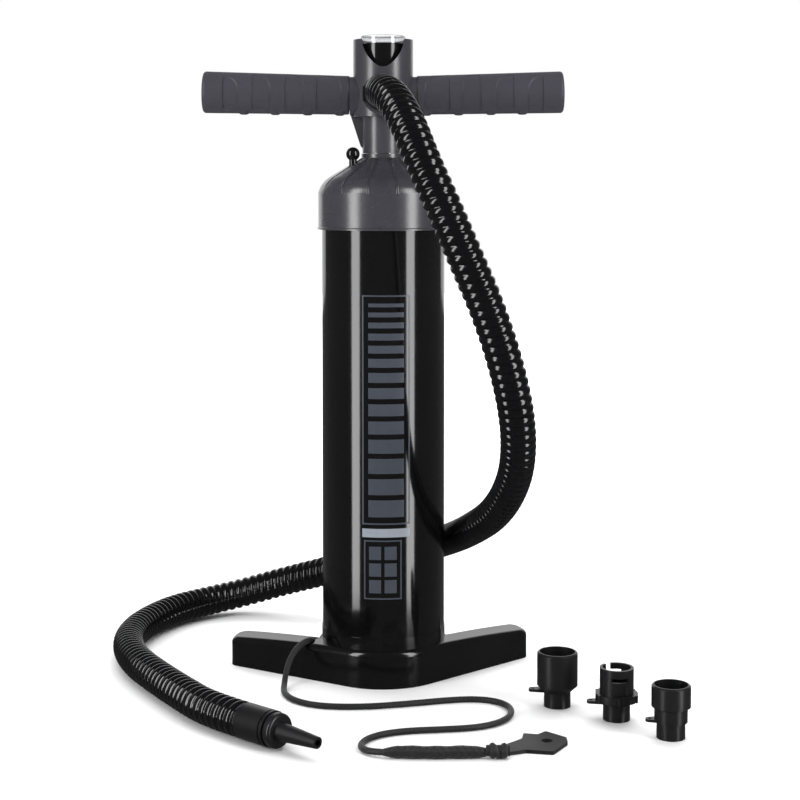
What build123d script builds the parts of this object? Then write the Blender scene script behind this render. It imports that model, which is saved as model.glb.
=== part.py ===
"""Double action hand pump: foot, barrel, screwed head, hollow rod with a two-way piston, T handle
with a gauge, ribbed hose with its spout, leash and three loose valve adapters.

Millimetres, +Z up. The origin is on the floor, on the barrel's axis. +X runs along the handle and
-Y is the front, where the hose leaves the handle. At rest the handle is pushed right down.
"""

import os
from math import cos, pi, radians, sin, tan

from build123d import *

os.makedirs("parts", exist_ok=True)

# ---- clearances and small hardware ---------------------------------------------------------------
fit = 0.1  # pieces pressed or glued together, per side
running = 0.3  # pieces that slide or turn past each other, per side
shaft_clearance = 0.05  # the rod in its bushing, per side
cut_margin = 1.0  # how far a cut runs past the wall that it goes through
seal_section = 3.0
screw_core_radius = 1.6
screw_head_radius = 3.2
screw_head_height = 1.4
screw_length = 14.0

# ---- barrel --------------------------------------------------------------------------------------
barrel_radius = 54.0
barrel_wall = 2.5
barrel_length = 377.0

# ---- foot ----------------------------------------------------------------------------------------
foot_turn = 5.4  # the handle stands this many degrees off the foot's own line
sleeve_height = 43.0  # floor to the shoulder that carries the barrel
sleeve_step = 0.6  # the sleeve stands this far proud of the barrel
spigot_height = 12.0  # plug that enters the barrel
nose_step = 4.0  # the round nose stands this far proud of the barrel
wing_sweep = 37.0
wing_reach = 127.5  # a wing's front edge, from where it leaves the nose
wing_width = 27.3
wing_end_slant = 18.0  # the wing's end is cut this many degrees off square
wing_tip_height = 22.5
wing_crown_height = 33.0
wing_tip_round = 10.0
wing_top_round = 5.5
foot_wall = 3.5
plate_thickness = 2.5
post_radius = 4.0
post_reach = 88.0  # how far out along the wings the outer plate screws sit
post_spread = 24.0  # inner plate screws, in front of the axis and behind it
plate_vent_radius = 2.5
notch_width = 16.0  # lets air in under the back of the foot
notch_height = 3.0
leash_hole_radius = 3.6
leash_hole_x = -61.4
leash_hole_y = -1.2

# ---- check valves --------------------------------------------------------------------------------
flap_thickness = 1.5
flap_travel = 2.0
air_port_radius = 3.5
foot_port_ring = 13.0  # the circle on which the foot's air ports lie
foot_flap_radius = 20.0
stud_radius = 3.0
stud_head_radius = 6.0
stud_head_thickness = 1.2

# ---- piston and rod ------------------------------------------------------------------------------
rod_radius = 14.0
rod_wall = 2.0
piston_plate = 4.0
piston_chamber_height = 12.0
piston_chamber_radius = 38.0
piston_screw_ring = 42.2
cover_thickness = 4.0
rod_socket_depth = 20.0
lower_port_ring = 11.0
lower_flap_radius = 18.0
upper_port_ring = 30.0
upper_flap_inner = 24.0
upper_flap_outer = 36.0

# ---- cylinder head and cap -----------------------------------------------------------------------
head_spigot = 12.0
head_flange = 4.0
head_hub_radius = 20.5
head_hub_height = 24.0
head_port_ring = 42.0
head_port_radius = 2.8
head_flap_inner = 37.0
head_flap_outer = 47.0
bushing_wall = 3.0
wiper_height = 3.0
cap_skirt_radius = 57.2
cap_skirt_drop = 25.0  # how far the skirt hangs below the barrel's top
cap_shoulder_rise = 7.0  # the skirt's top above the barrel's top
cap_round = 10.2  # the shoulder's rounding, measured across
cap_skirt_gap = 0.6
cap_bearing = 3.0  # width of the step that presses on the cylinder head
cap_wall = 3.2
cap_lip = 0.7
cap_ring_radius = 19.2
cap_ring_height = 3.5
cap_flutes = 14
flute_top_radius = 3.6
flute_foot_radius = 1.8
bypass_x = -26.3
bypass_y = -12.0
bypass_wall = 3.0
bypass_boss_height = 15.0
plug_ball_radius = 6.0
plug_stem_radius = 3.4
plug_depth = 14.0

# ---- handle --------------------------------------------------------------------------------------
neck_radius = 18.3
neck_length = 50.0  # from the cap to the middle of the bar
neck_gap = 0.4
head_radius = 26.2
head_rise = 48.7  # the head's rim above the middle of the bar
head_skirt = 1.4  # the head reaches this far below the bar
bar_core_radius = 12.5
grip_reach = 157.5
grip_gap = 0.8  # groove between the collar and the grip
collar_reach = 29.2
grip_root_radius = 16.9
grip_end_radius = 18.2
grip_rise = 1.25  # degrees that each grip climbs towards its end
grip_end_wall = 4.0
grip_end_round = 3.0
grip_panel_depth = 0.9
web_thickness = 4.0
web_foot = 1.5  # the web runs out this close to the neck
web_foot_height = 3.0
web_reach = 28.6
scallop_width = 36.5
scallop_depth = 24.5
rod_grip_depth = 44.0  # how far the rod enters the handle
port_boss_radius = 17.5
port_face = 33.0
port_bore_radius = 10.0

# ---- gauge ---------------------------------------------------------------------------------------
gauge_radius = 19.6
gauge_body_height = 22.0
gauge_body_wall = 2.0
lens_height = 7.0
lens_wall = 1.6
lens_proud = 3.4
dial_thickness = 1.0
dial_drop = 1.0
needle_shaft_radius = 0.8
needle_length = 12.5
needle_thickness = 0.6
gauge_stem_radius = 5.0
gauge_hub_radius = 2.2
movement_radius = 13.7
movement_gap = 3.0  # air space under the movement
shaft_depth = 3.0  # how far the needle's shaft goes into the movement
needle_lift = 1.0  # the needle above the dial's seat
needle_half_width = 0.8
stem_gap = 2.0  # the stem's foot above the air port

# ---- hose ----------------------------------------------------------------------------------------
hose_radius = 14.5
hose_wall = 2.5
connector_collar_radius = 13.5
connector_collar_length = 13.0
connector_spigot = 14.0
ear_width = 14.0
ear_reach = 17.0
cuff_radius = 15.4
cuff_length = 26.0
end_cuff_radius = 14.3
end_cuff_length = 31.0
cuff_groove_place = 4.0  # back from the cuff's end
cuff_groove_width = 1.6
cuff_groove_depth = 0.8
spout_disc_round = 2.4
spout_disc_radius = 13.6
spout_disc_thickness = 8.0
spout_length = 40.0
spout_root_radius = 7.4
spout_tip_radius = 4.6
spout_bore_radius = 2.8
spout_plug_length = 16.0
spout_turn = -42.0  # heading of the spout on the floor, degrees from +X

# ---- leash ---------------------------------------------------------------------------------------
leash_radius = 2.5
splice_radius = 4.7
knot_radius = 6.0
tab_thickness = 3.0
tab_round = 1.5
tab_root = 97.0  # the corners to the right of this are rounded
tab_hole_radius = 4.5
tab_hole = (129.0, -199.0)
splice_length = 75.0
knot_length = 18.0

# ---- adapters: where each stands on the floor, and its radii and heights -------------------------
adapter_wall = 2.2
adapter_rim = 1.2
adapter_bore_radius = 6.5
eyelet_root = 10.0  # where the tongue starts, inside the wall
eyelet_reach = 7.0
eyelet_thickness = 2.4
eyelet_width = 11.0
eyelet_end_radius = 3.4
eyelet_hole_radius = 1.6
cup_place = (146.0, -102.0)
cup_radius = 16.9
cup_neck_radius = 11.1
cup_height = 46.0
cup_neck_height = 12.5
cup_shoulder_height = 18.0
bayonet_place = (191.0, -137.0)
bayonet_radius = 13.8
bayonet_flange_radius = 17.2
bayonet_flange_height = 8.5
bayonet_flange_rise = 2.4
bayonet_neck_radius = 11.0
bayonet_neck_height = 13.5
bayonet_height = 43.0
bayonet_hook = 5.0
bayonet_slot = 5.5
bayonet_window_drop = 0.8
bayonet_window_height = 3.4
bayonet_lugs = 6
bayonet_lug_radius = 1.4
slot_entry_start = 106.0  # the slots' angles, in degrees from +X
slot_entry_end = 131.0
slot_run_end = 65.0
window_start = 245.0
window_end = 305.0
slim_place = (228.0, -182.5)
slim_radius = 15.5
slim_waist_radius = 13.1
slim_neck_radius = 11.3
slim_neck_height = 13.0
slim_waist_height = 24.0
slim_height = 42.5
slim_key_radius = 1.5

# ---- sizes that follow ---------------------------------------------------------------------------
barrel_bore = barrel_radius - barrel_wall
nose_radius = barrel_radius + nose_step
floor_of_bore = sleeve_height + spigot_height
barrel_top = sleeve_height + barrel_length
stud_top = floor_of_bore + flap_thickness + flap_travel + stud_head_thickness
piston_bottom = stud_top + 1.0
chamber_bottom = piston_bottom + piston_plate
chamber_top = chamber_bottom + piston_chamber_height
cover_top = chamber_top + cover_thickness
piston_radius = barrel_bore - running
head_bottom = barrel_top - head_spigot
flange_top = barrel_top + head_flange
hub_top = flange_top + head_hub_height
bypass_boss_top = flange_top + bypass_boss_height
cap_bottom = barrel_top - cap_skirt_drop
cap_shoulder = barrel_top + cap_shoulder_rise
cap_top = hub_top + 3 * cap_wall + cap_ring_height
neck_bottom = cap_top + neck_gap
bar_height = neck_bottom + neck_length
bar_bottom = bar_height - grip_root_radius
rod_top = neck_bottom + rod_grip_depth
rod_screw_height = neck_bottom + neck_length / 3
head_rim = bar_height + head_rise
gauge_top = head_rim + lens_proud
gauge_seat = gauge_top - lens_height
pocket_floor = gauge_seat - gauge_body_height
neck_bore = rod_radius + fit
bushing_radius = rod_radius + shaft_clearance + bushing_wall
stroke = head_bottom - flap_thickness - flap_travel - 1.0 - (cover_top + rod_socket_depth)
print(f"stroke {stroke:.1f} mm, bar at {bar_height:.1f} mm, top at {gauge_top:.1f} mm")

foot_axis = (cos(radians(foot_turn)), sin(radians(foot_turn)), 0)
foot_plane = Plane(origin=(0, 0, 0), x_dir=foot_axis, z_dir=(0, 0, 1))
foot_side = Plane(origin=(0, 0, 0), x_dir=foot_axis, z_dir=(foot_axis[1], -foot_axis[0], 0))


def finish(part, name):
    """Labels a finished piece and writes its STEP file."""
    part.label = name
    export_step(part, f"parts/{name}.step")


def draw_foot_plan(inset):
    """Adds the foot's outline, drawn in by inset, to the open sketch: a round nose, two swept wings."""
    sweep = radians(wing_sweep)
    slant = radians(wing_end_slant)
    along = Vector(cos(sweep), sin(sweep))
    across = Vector(sin(sweep), -cos(sweep))
    front_line = nose_radius - inset
    back_line = nose_radius - wing_width + inset
    corners = [across * front_line]
    for line in (front_line, back_line):
        reach = wing_reach + (nose_radius - line) * tan(slant) - inset / cos(slant)
        corners.append(across * line + along * reach)
    corners.append(across * back_line)
    Circle(front_line)
    Polygon(*[(p.X, p.Y) for p in corners], align=None)
    Polygon(*[(-p.X, p.Y) for p in corners], align=None)


def wing_post_places():
    """Where the outer screws of the base plate go, in the middle of each wing."""
    middle = nose_radius - wing_width / 2
    sweep = radians(wing_sweep)
    x = middle * sin(sweep) + post_reach * cos(sweep)
    y = -middle * cos(sweep) + post_reach * sin(sweep)
    return [(x, y), (-x, y)]


def middle_post_places():
    """Where the inner screws of the base plate go."""
    return [(0, post_spread), (0, -post_spread)]


post_places = wing_post_places() + middle_post_places()
plate_top = plate_thickness


def on_floor(place, heading, height):
    """A plane standing upright at a place, looking along a heading in degrees from +X, at a height."""
    turn = radians(heading)
    return Plane(origin=(place[0], place[1], height), x_dir=(0, 0, 1), z_dir=(cos(turn), sin(turn), 0))


# ---- foot: one moulding, hollow from below, with a sleeve outside and a plug that enters the barrel ----
foot_arches = []
for drop in (0, foot_wall / 2, foot_wall):
    half_span = wing_reach + wing_width
    side = wing_tip_height - drop
    with BuildSketch(foot_side) as foot_arch:
        with BuildLine():
            ThreePointArc((-half_span, side), (0, wing_crown_height - drop), (half_span, side))
            Polyline((half_span, side), (half_span, 0), (-half_span, 0), (-half_span, side))
        make_face()
    foot_arches.append(foot_arch.sketch)
outer_arch, post_arch, inner_arch = foot_arches

with BuildPart() as foot:
    with BuildSketch(foot_plane):
        draw_foot_plan(0)
    extrude(amount=wing_crown_height)
    extrude(outer_arch, amount=2 * barrel_radius, both=True, mode=Mode.INTERSECT)
    upright = foot.edges().filter_by(Axis.Z)
    tips = upright.filter_by(lambda e: Vector(e.center().X, e.center().Y).length > wing_reach)
    fillet(tips, radius=wing_tip_round)
    top_edges = foot.edges().filter_by(lambda e: e.center().Z > 0.9 * wing_tip_height)
    fillet(top_edges, radius=wing_top_round)
    with BuildSketch(Plane.XY):
        Circle(barrel_radius + sleeve_step)
    extrude(amount=sleeve_height)
    with BuildSketch(Plane.XY.offset(sleeve_height)):
        Circle(barrel_bore - fit)
    extrude(amount=spigot_height)
    with BuildSketch(foot_plane):
        draw_foot_plan(foot_wall)
    hollow = extrude(amount=wing_crown_height, mode=Mode.PRIVATE)
    hollow_below = extrude(inner_arch, amount=2 * barrel_radius, both=True, mode=Mode.PRIVATE)
    add(hollow & hollow_below, mode=Mode.SUBTRACT)
    with BuildSketch(Plane.XY):
        Circle(barrel_bore - fit - foot_wall)
    extrude(amount=floor_of_bore - foot_wall, mode=Mode.SUBTRACT)
    with BuildSketch(foot_plane.offset(plate_top)):
        with Locations(*wing_post_places()):
            Circle(post_radius)
    wing_posts = extrude(amount=wing_crown_height, mode=Mode.PRIVATE)
    posts_below = extrude(post_arch, amount=2 * barrel_radius, both=True, mode=Mode.PRIVATE)
    add(wing_posts & posts_below)
    with BuildSketch(foot_plane.offset(plate_top)):
        with Locations(*middle_post_places()):
            Circle(post_radius)
    extrude(amount=floor_of_bore - foot_wall / 2 - plate_top)
    with BuildSketch(foot_plane.offset(plate_top)):
        with Locations(*post_places):
            Circle(screw_core_radius)
    extrude(amount=screw_length - plate_thickness, mode=Mode.SUBTRACT)
    with BuildSketch(Plane.XY.offset(floor_of_bore - foot_wall)):
        with PolarLocations(foot_port_ring, 6, start_angle=30):
            Circle(air_port_radius)
        Circle(stud_radius)
    extrude(amount=foot_wall, mode=Mode.SUBTRACT)
    with BuildSketch(Plane.XY.offset(sleeve_height + spigot_height / 2 - seal_section / 2)):
        Circle(barrel_bore)
        Circle(barrel_bore - seal_section, mode=Mode.SUBTRACT)
    extrude(amount=seal_section, mode=Mode.SUBTRACT)
    with BuildSketch(foot_plane.offset(wing_tip_height / 2)):
        with Locations((leash_hole_x, leash_hole_y)):
            Circle(leash_hole_radius)
    extrude(amount=wing_crown_height, mode=Mode.SUBTRACT)
    with BuildSketch(foot_side):
        Rectangle(notch_width, 2 * notch_height)
    extrude(amount=-2 * nose_radius, mode=Mode.SUBTRACT)
finish(foot.part, "foot")

with BuildPart() as base_plate:
    with BuildSketch(foot_plane):
        draw_foot_plan(foot_wall + running)
    extrude(amount=plate_thickness)
    with BuildSketch(foot_plane):
        with Locations(*post_places):
            Circle(screw_core_radius + fit)
        with PolarLocations(barrel_bore - 3 * foot_wall, 12, start_angle=15):
            Circle(plate_vent_radius)
    extrude(amount=plate_thickness, mode=Mode.SUBTRACT)
    with BuildSketch(foot_plane):
        with Locations(*post_places):
            Circle(screw_head_radius + fit)
    extrude(amount=screw_head_height, mode=Mode.SUBTRACT)
finish(base_plate.part, "base_plate")

with BuildPart() as base_screws:
    with BuildSketch(foot_plane):
        with Locations(*post_places):
            Circle(screw_head_radius)
    extrude(amount=screw_head_height)
    with BuildSketch(foot_plane.offset(screw_head_height)):
        with Locations(*post_places):
            Circle(screw_core_radius)
    extrude(amount=screw_length - screw_head_height - 1)
    with BuildSketch(foot_plane):
        with Locations(*post_places):
            Rectangle(2 * screw_core_radius, screw_core_radius / 2)
            Rectangle(screw_core_radius / 2, 2 * screw_core_radius)
    extrude(amount=screw_head_height / 2, mode=Mode.SUBTRACT)
finish(base_screws.part, "base_screws")

with BuildPart() as foot_seal:
    with BuildSketch(Plane.XZ):
        with Locations((barrel_bore - seal_section / 2, sleeve_height + spigot_height / 2)):
            Circle(seal_section / 2)
    revolve(axis=Axis.Z)
finish(foot_seal.part, "foot_seal")

# ---- lower intake valve: a rubber disc under the head of a push-in stud --------------------------
with BuildPart() as foot_intake_flap:
    with BuildSketch(Plane.XY.offset(floor_of_bore)):
        Circle(foot_flap_radius)
        Circle(stud_radius + running, mode=Mode.SUBTRACT)
    extrude(amount=flap_thickness)
finish(foot_intake_flap.part, "foot_intake_flap")

with BuildPart() as foot_valve_stud:
    with BuildSketch(Plane.XY.offset(floor_of_bore - foot_wall - 2)):
        Circle(stud_radius + 1)
    extrude(amount=2)
    with BuildSketch(Plane.XY.offset(floor_of_bore - foot_wall)):
        Circle(stud_radius)
    extrude(amount=foot_wall + flap_thickness + flap_travel)
    with BuildSketch(Plane.XY.offset(stud_top - stud_head_thickness)):
        Circle(stud_head_radius)
    extrude(amount=stud_head_thickness)
finish(foot_valve_stud.part, "foot_valve_stud")

# ---- barrel --------------------------------------------------------------------------------------
with BuildPart() as barrel_tube:
    with BuildSketch(Plane.XY.offset(sleeve_height)):
        Circle(barrel_radius)
        Circle(barrel_bore, mode=Mode.SUBTRACT)
    extrude(amount=barrel_length)
finish(barrel_tube.part, "barrel_tube")

# ---- cylinder head: closes the barrel and guides the rod -----------------------------------------
with BuildPart() as cylinder_head:
    with BuildSketch(Plane.XY.offset(head_bottom)):
        Circle(barrel_bore - fit)
    extrude(amount=head_spigot)
    with BuildSketch(Plane.XY.offset(barrel_top)):
        Circle(barrel_radius)
    extrude(amount=head_flange)
    with BuildSketch(Plane.XY.offset(flange_top)):
        Circle(head_hub_radius)
    extrude(amount=head_hub_height)
    with BuildSketch(Plane.XY.offset(flange_top)):
        with Locations((bypass_x, bypass_y)):
            Circle(plug_stem_radius + bypass_wall)
    extrude(amount=bypass_boss_height)
    with BuildSketch(Plane.XY.offset(head_bottom)):
        Circle(bushing_radius)
    extrude(amount=hub_top - head_bottom, mode=Mode.SUBTRACT)
    with BuildSketch(Plane.XY.offset(head_bottom)):
        with Locations((bypass_x, bypass_y)):
            Circle(plug_stem_radius + running)
    extrude(amount=bypass_boss_top - head_bottom, mode=Mode.SUBTRACT)
    with BuildSketch(Plane.XY.offset(head_bottom)):
        with PolarLocations(head_port_ring, 8):
            Circle(head_port_radius)
    extrude(amount=head_spigot + head_flange, mode=Mode.SUBTRACT)
    with BuildSketch(Plane.XY.offset(head_bottom + head_spigot / 2 - seal_section / 2)):
        Circle(barrel_bore)
        Circle(barrel_bore - seal_section, mode=Mode.SUBTRACT)
    extrude(amount=seal_section, mode=Mode.SUBTRACT)
finish(cylinder_head.part, "cylinder_head")

with BuildPart() as head_seal:
    with BuildSketch(Plane.XZ):
        with Locations((barrel_bore - seal_section / 2, head_bottom + head_spigot / 2)):
            Circle(seal_section / 2)
    revolve(axis=Axis.Z)
finish(head_seal.part, "head_seal")

with BuildPart() as head_intake_flap:
    with BuildSketch(Plane.XY.offset(head_bottom - flap_thickness)):
        Circle(head_flap_outer)
        Circle(head_flap_inner, mode=Mode.SUBTRACT)
    extrude(amount=flap_thickness)
finish(head_intake_flap.part, "head_intake_flap")

with BuildPart() as rod_bushing:
    with BuildSketch(Plane.XY.offset(head_bottom)):
        Circle(bushing_radius)
        Circle(rod_radius + shaft_clearance, mode=Mode.SUBTRACT)
    extrude(amount=hub_top - head_bottom - wiper_height)
finish(rod_bushing.part, "rod_bushing")

with BuildPart() as rod_wiper:
    with BuildSketch(Plane.XY.offset(hub_top - wiper_height)):
        Circle(bushing_radius)
        Circle(rod_radius + shaft_clearance, mode=Mode.SUBTRACT)
    extrude(amount=wiper_height)
finish(rod_wiper.part, "rod_wiper")

# ---- cap: the outer shell that screws down over the cylinder head, with flutes for the hand ------
cone_foot = Vector(cap_skirt_radius - cap_round, 0, cap_shoulder + 1.35 * cap_round)
cone_top = Vector(cap_ring_radius, 0, cap_top - cap_ring_height)
cone_slope = (cone_foot - cone_top).normalized()

flute_lift = flute_foot_radius / 2
flute_run_start = cone_foot + Vector(-cone_slope.Z, 0, cone_slope.X) * flute_lift
flute_run_end = Vector(cap_skirt_radius + flute_lift, 0, cap_shoulder)

with BuildPart() as cap_flute:
    with BuildSketch(Plane(origin=cone_top + cone_slope, x_dir=(0, 1, 0), z_dir=cone_slope)):
        with Locations((0, flute_top_radius / 2)):
            Circle(flute_top_radius)
    with BuildSketch(Plane(origin=cone_foot, x_dir=(0, 1, 0), z_dir=cone_slope)):
        with Locations((0, flute_lift)):
            Circle(flute_foot_radius)
    loft()
    with BuildLine():
        flute_run = TangentArc(flute_run_start, flute_run_end, tangent=cone_slope)
    with BuildSketch(Plane(origin=flute_run_start, x_dir=(0, 1, 0), z_dir=cone_slope)):
        Circle(flute_foot_radius)
    sweep(path=flute_run)
    with Locations(flute_run_end):
        Sphere(flute_foot_radius)

with BuildPart() as top_cap:
    with BuildSketch(Plane.XZ):
        with BuildLine():
            Line((cone_top.X, cone_top.Z), (cone_foot.X, cone_foot.Z))
            TangentArc(
                (cone_foot.X, cone_foot.Z),
                (cap_skirt_radius, cap_shoulder),
                tangent=(cone_slope.X, cone_slope.Z),
            )
            Polyline(
                (cap_skirt_radius, cap_shoulder),
                (cap_skirt_radius, cap_bottom + 3 * cap_lip),
                (cap_skirt_radius + cap_lip, cap_bottom + 2 * cap_lip),
                (cap_skirt_radius + cap_lip, cap_bottom),
                (0, cap_bottom),
                (0, cap_top),
                (cap_ring_radius, cap_top),
                (cone_top.X, cone_top.Z),
            )
        make_face()
    revolve(axis=Axis.Z)
    with PolarLocations(0, cap_flutes):
        add(cap_flute.part, mode=Mode.SUBTRACT)
    with BuildSketch(Plane.XZ):
        with BuildLine():
            Polyline(
                (0, cap_bottom),
                (barrel_radius + cap_skirt_gap, cap_bottom),
                (barrel_radius + cap_skirt_gap, flange_top),
                (barrel_radius - cap_bearing, flange_top),
                (cone_foot.X - cap_wall, cone_foot.Z - 1.4 * cap_wall),
                (head_hub_radius + fit, hub_top),
                (0, hub_top),
                (0, cap_bottom),
            )
        make_face()
    revolve(axis=Axis.Z, mode=Mode.SUBTRACT)
    with BuildSketch(Plane.XY.offset(hub_top)):
        Circle(rod_radius + running)
    extrude(amount=cap_top - hub_top, mode=Mode.SUBTRACT)
    with BuildSketch(Plane.XY.offset(flange_top)):
        with Locations((bypass_x, bypass_y)):
            Circle(plug_stem_radius + running)
    extrude(amount=cap_top - flange_top, mode=Mode.SUBTRACT)
finish(top_cap.part, "top_cap")

# ---- bypass plug: pulled out, it opens the upper chamber and the pump works on one stroke only ----
ball_height = cap_top - 0.4
with BuildPart() as bypass_plug:
    with BuildSketch(Plane.XZ):
        with BuildLine():
            ThreePointArc((0, plug_ball_radius), (plug_ball_radius, 0), (0, -plug_ball_radius))
            Line((0, -plug_ball_radius), (0, plug_ball_radius))
        make_face()
    plug_ball = revolve(axis=Axis.Z, mode=Mode.PRIVATE)
    with Locations((bypass_x, bypass_y, ball_height)):
        add(plug_ball)
    with BuildSketch(Plane.XY.offset(bypass_boss_top - plug_depth)):
        with Locations((bypass_x, bypass_y)):
            Circle(plug_stem_radius)
    extrude(amount=ball_height - bypass_boss_top + plug_depth)
finish(bypass_plug.part, "bypass_plug")

# ---- piston --------------------------------------------------------------------------------------
seal_middle = (piston_bottom + chamber_top) / 2
with BuildPart() as piston_body:
    with BuildSketch(Plane.XY.offset(piston_bottom)):
        Circle(piston_radius)
    extrude(amount=chamber_top - piston_bottom)
    with BuildSketch(Plane.XY.offset(chamber_bottom)):
        Circle(piston_chamber_radius)
        Circle(stud_radius, mode=Mode.SUBTRACT)
    extrude(amount=piston_chamber_height, mode=Mode.SUBTRACT)
    with BuildSketch(Plane.XY.offset(piston_bottom)):
        with PolarLocations(lower_port_ring, 6):
            Circle(air_port_radius)
    extrude(amount=piston_plate, mode=Mode.SUBTRACT)
    with BuildSketch(Plane.XY.offset(chamber_bottom + flap_thickness + flap_travel)):
        Circle(stud_radius)
    extrude(amount=piston_chamber_height, mode=Mode.SUBTRACT)
    with BuildSketch(Plane.XY.offset(seal_middle - seal_section / 2)):
        Circle(barrel_bore)
        Circle(barrel_bore - shaft_clearance - seal_section, mode=Mode.SUBTRACT)
    extrude(amount=seal_section, mode=Mode.SUBTRACT)
    with BuildSketch(Plane.XY.offset(chamber_top - screw_length + cover_thickness)):
        with PolarLocations(piston_screw_ring, 6):
            Circle(screw_core_radius)
    extrude(amount=screw_length, mode=Mode.SUBTRACT)
finish(piston_body.part, "piston_body")

with BuildPart() as piston_seal:
    with BuildSketch(Plane.XZ):
        with Locations((barrel_bore - shaft_clearance - seal_section / 2, seal_middle)):
            Circle(seal_section / 2)
    revolve(axis=Axis.Z)
finish(piston_seal.part, "piston_seal")

with BuildPart() as piston_cover:
    with BuildSketch(Plane.XY.offset(chamber_top)):
        Circle(piston_radius)
    extrude(amount=cover_thickness)
    with BuildSketch(Plane.XY.offset(cover_top)):
        Circle(rod_radius + 2 * rod_wall)
    extrude(amount=rod_socket_depth)
    with BuildSketch(Plane.XY.offset(chamber_top)):
        Circle(rod_radius - rod_wall)
    extrude(amount=cover_thickness, mode=Mode.SUBTRACT)
    with BuildSketch(Plane.XY.offset(cover_top)):
        Circle(rod_radius)
    extrude(amount=rod_socket_depth, mode=Mode.SUBTRACT)
    with BuildSketch(Plane.XY.offset(chamber_top)):
        with PolarLocations(upper_port_ring, 6, start_angle=30):
            Circle(air_port_radius)
    extrude(amount=cover_thickness, mode=Mode.SUBTRACT)
    with BuildSketch(Plane.XY.offset(chamber_top)):
        with PolarLocations(piston_screw_ring, 6):
            Circle(screw_core_radius + fit)
    extrude(amount=cover_thickness, mode=Mode.SUBTRACT)
    with BuildSketch(Plane.XY.offset(cover_top - screw_head_height)):
        with PolarLocations(piston_screw_ring, 6):
            Circle(screw_head_radius + fit)
    extrude(amount=screw_head_height, mode=Mode.SUBTRACT)
finish(piston_cover.part, "piston_cover")

with BuildPart() as piston_screws:
    with BuildSketch(Plane.XY.offset(cover_top - screw_head_height)):
        with PolarLocations(piston_screw_ring, 6):
            Circle(screw_head_radius)
    extrude(amount=screw_head_height)
    with BuildSketch(Plane.XY.offset(cover_top - screw_length + 1)):
        with PolarLocations(piston_screw_ring, 6):
            Circle(screw_core_radius)
    extrude(amount=screw_length - 1 - screw_head_height)
finish(piston_screws.part, "piston_screws")

with BuildPart() as piston_lower_flap:
    with BuildSketch(Plane.XY.offset(chamber_bottom)):
        Circle(lower_flap_radius)
        Circle(stud_radius + running, mode=Mode.SUBTRACT)
    extrude(amount=flap_thickness)
finish(piston_lower_flap.part, "piston_lower_flap")

with BuildPart() as piston_upper_flap:
    with BuildSketch(Plane.XY.offset(chamber_top - flap_thickness)):
        Circle(upper_flap_outer)
        Circle(upper_flap_inner, mode=Mode.SUBTRACT)
    extrude(amount=flap_thickness)
finish(piston_upper_flap.part, "piston_upper_flap")

# ---- rod: a tube that also carries the air up to the handle --------------------------------------
with BuildPart() as rod_tube:
    with BuildSketch(Plane.XY.offset(cover_top)):
        Circle(rod_radius)
        Circle(rod_radius - rod_wall, mode=Mode.SUBTRACT)
    extrude(amount=rod_top - cover_top)
    with BuildSketch(Plane.XZ):
        with Locations((0, rod_screw_height)):
            Circle(screw_core_radius + fit)
    extrude(amount=-rod_radius, mode=Mode.SUBTRACT)
finish(rod_tube.part, "rod_tube")

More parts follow.
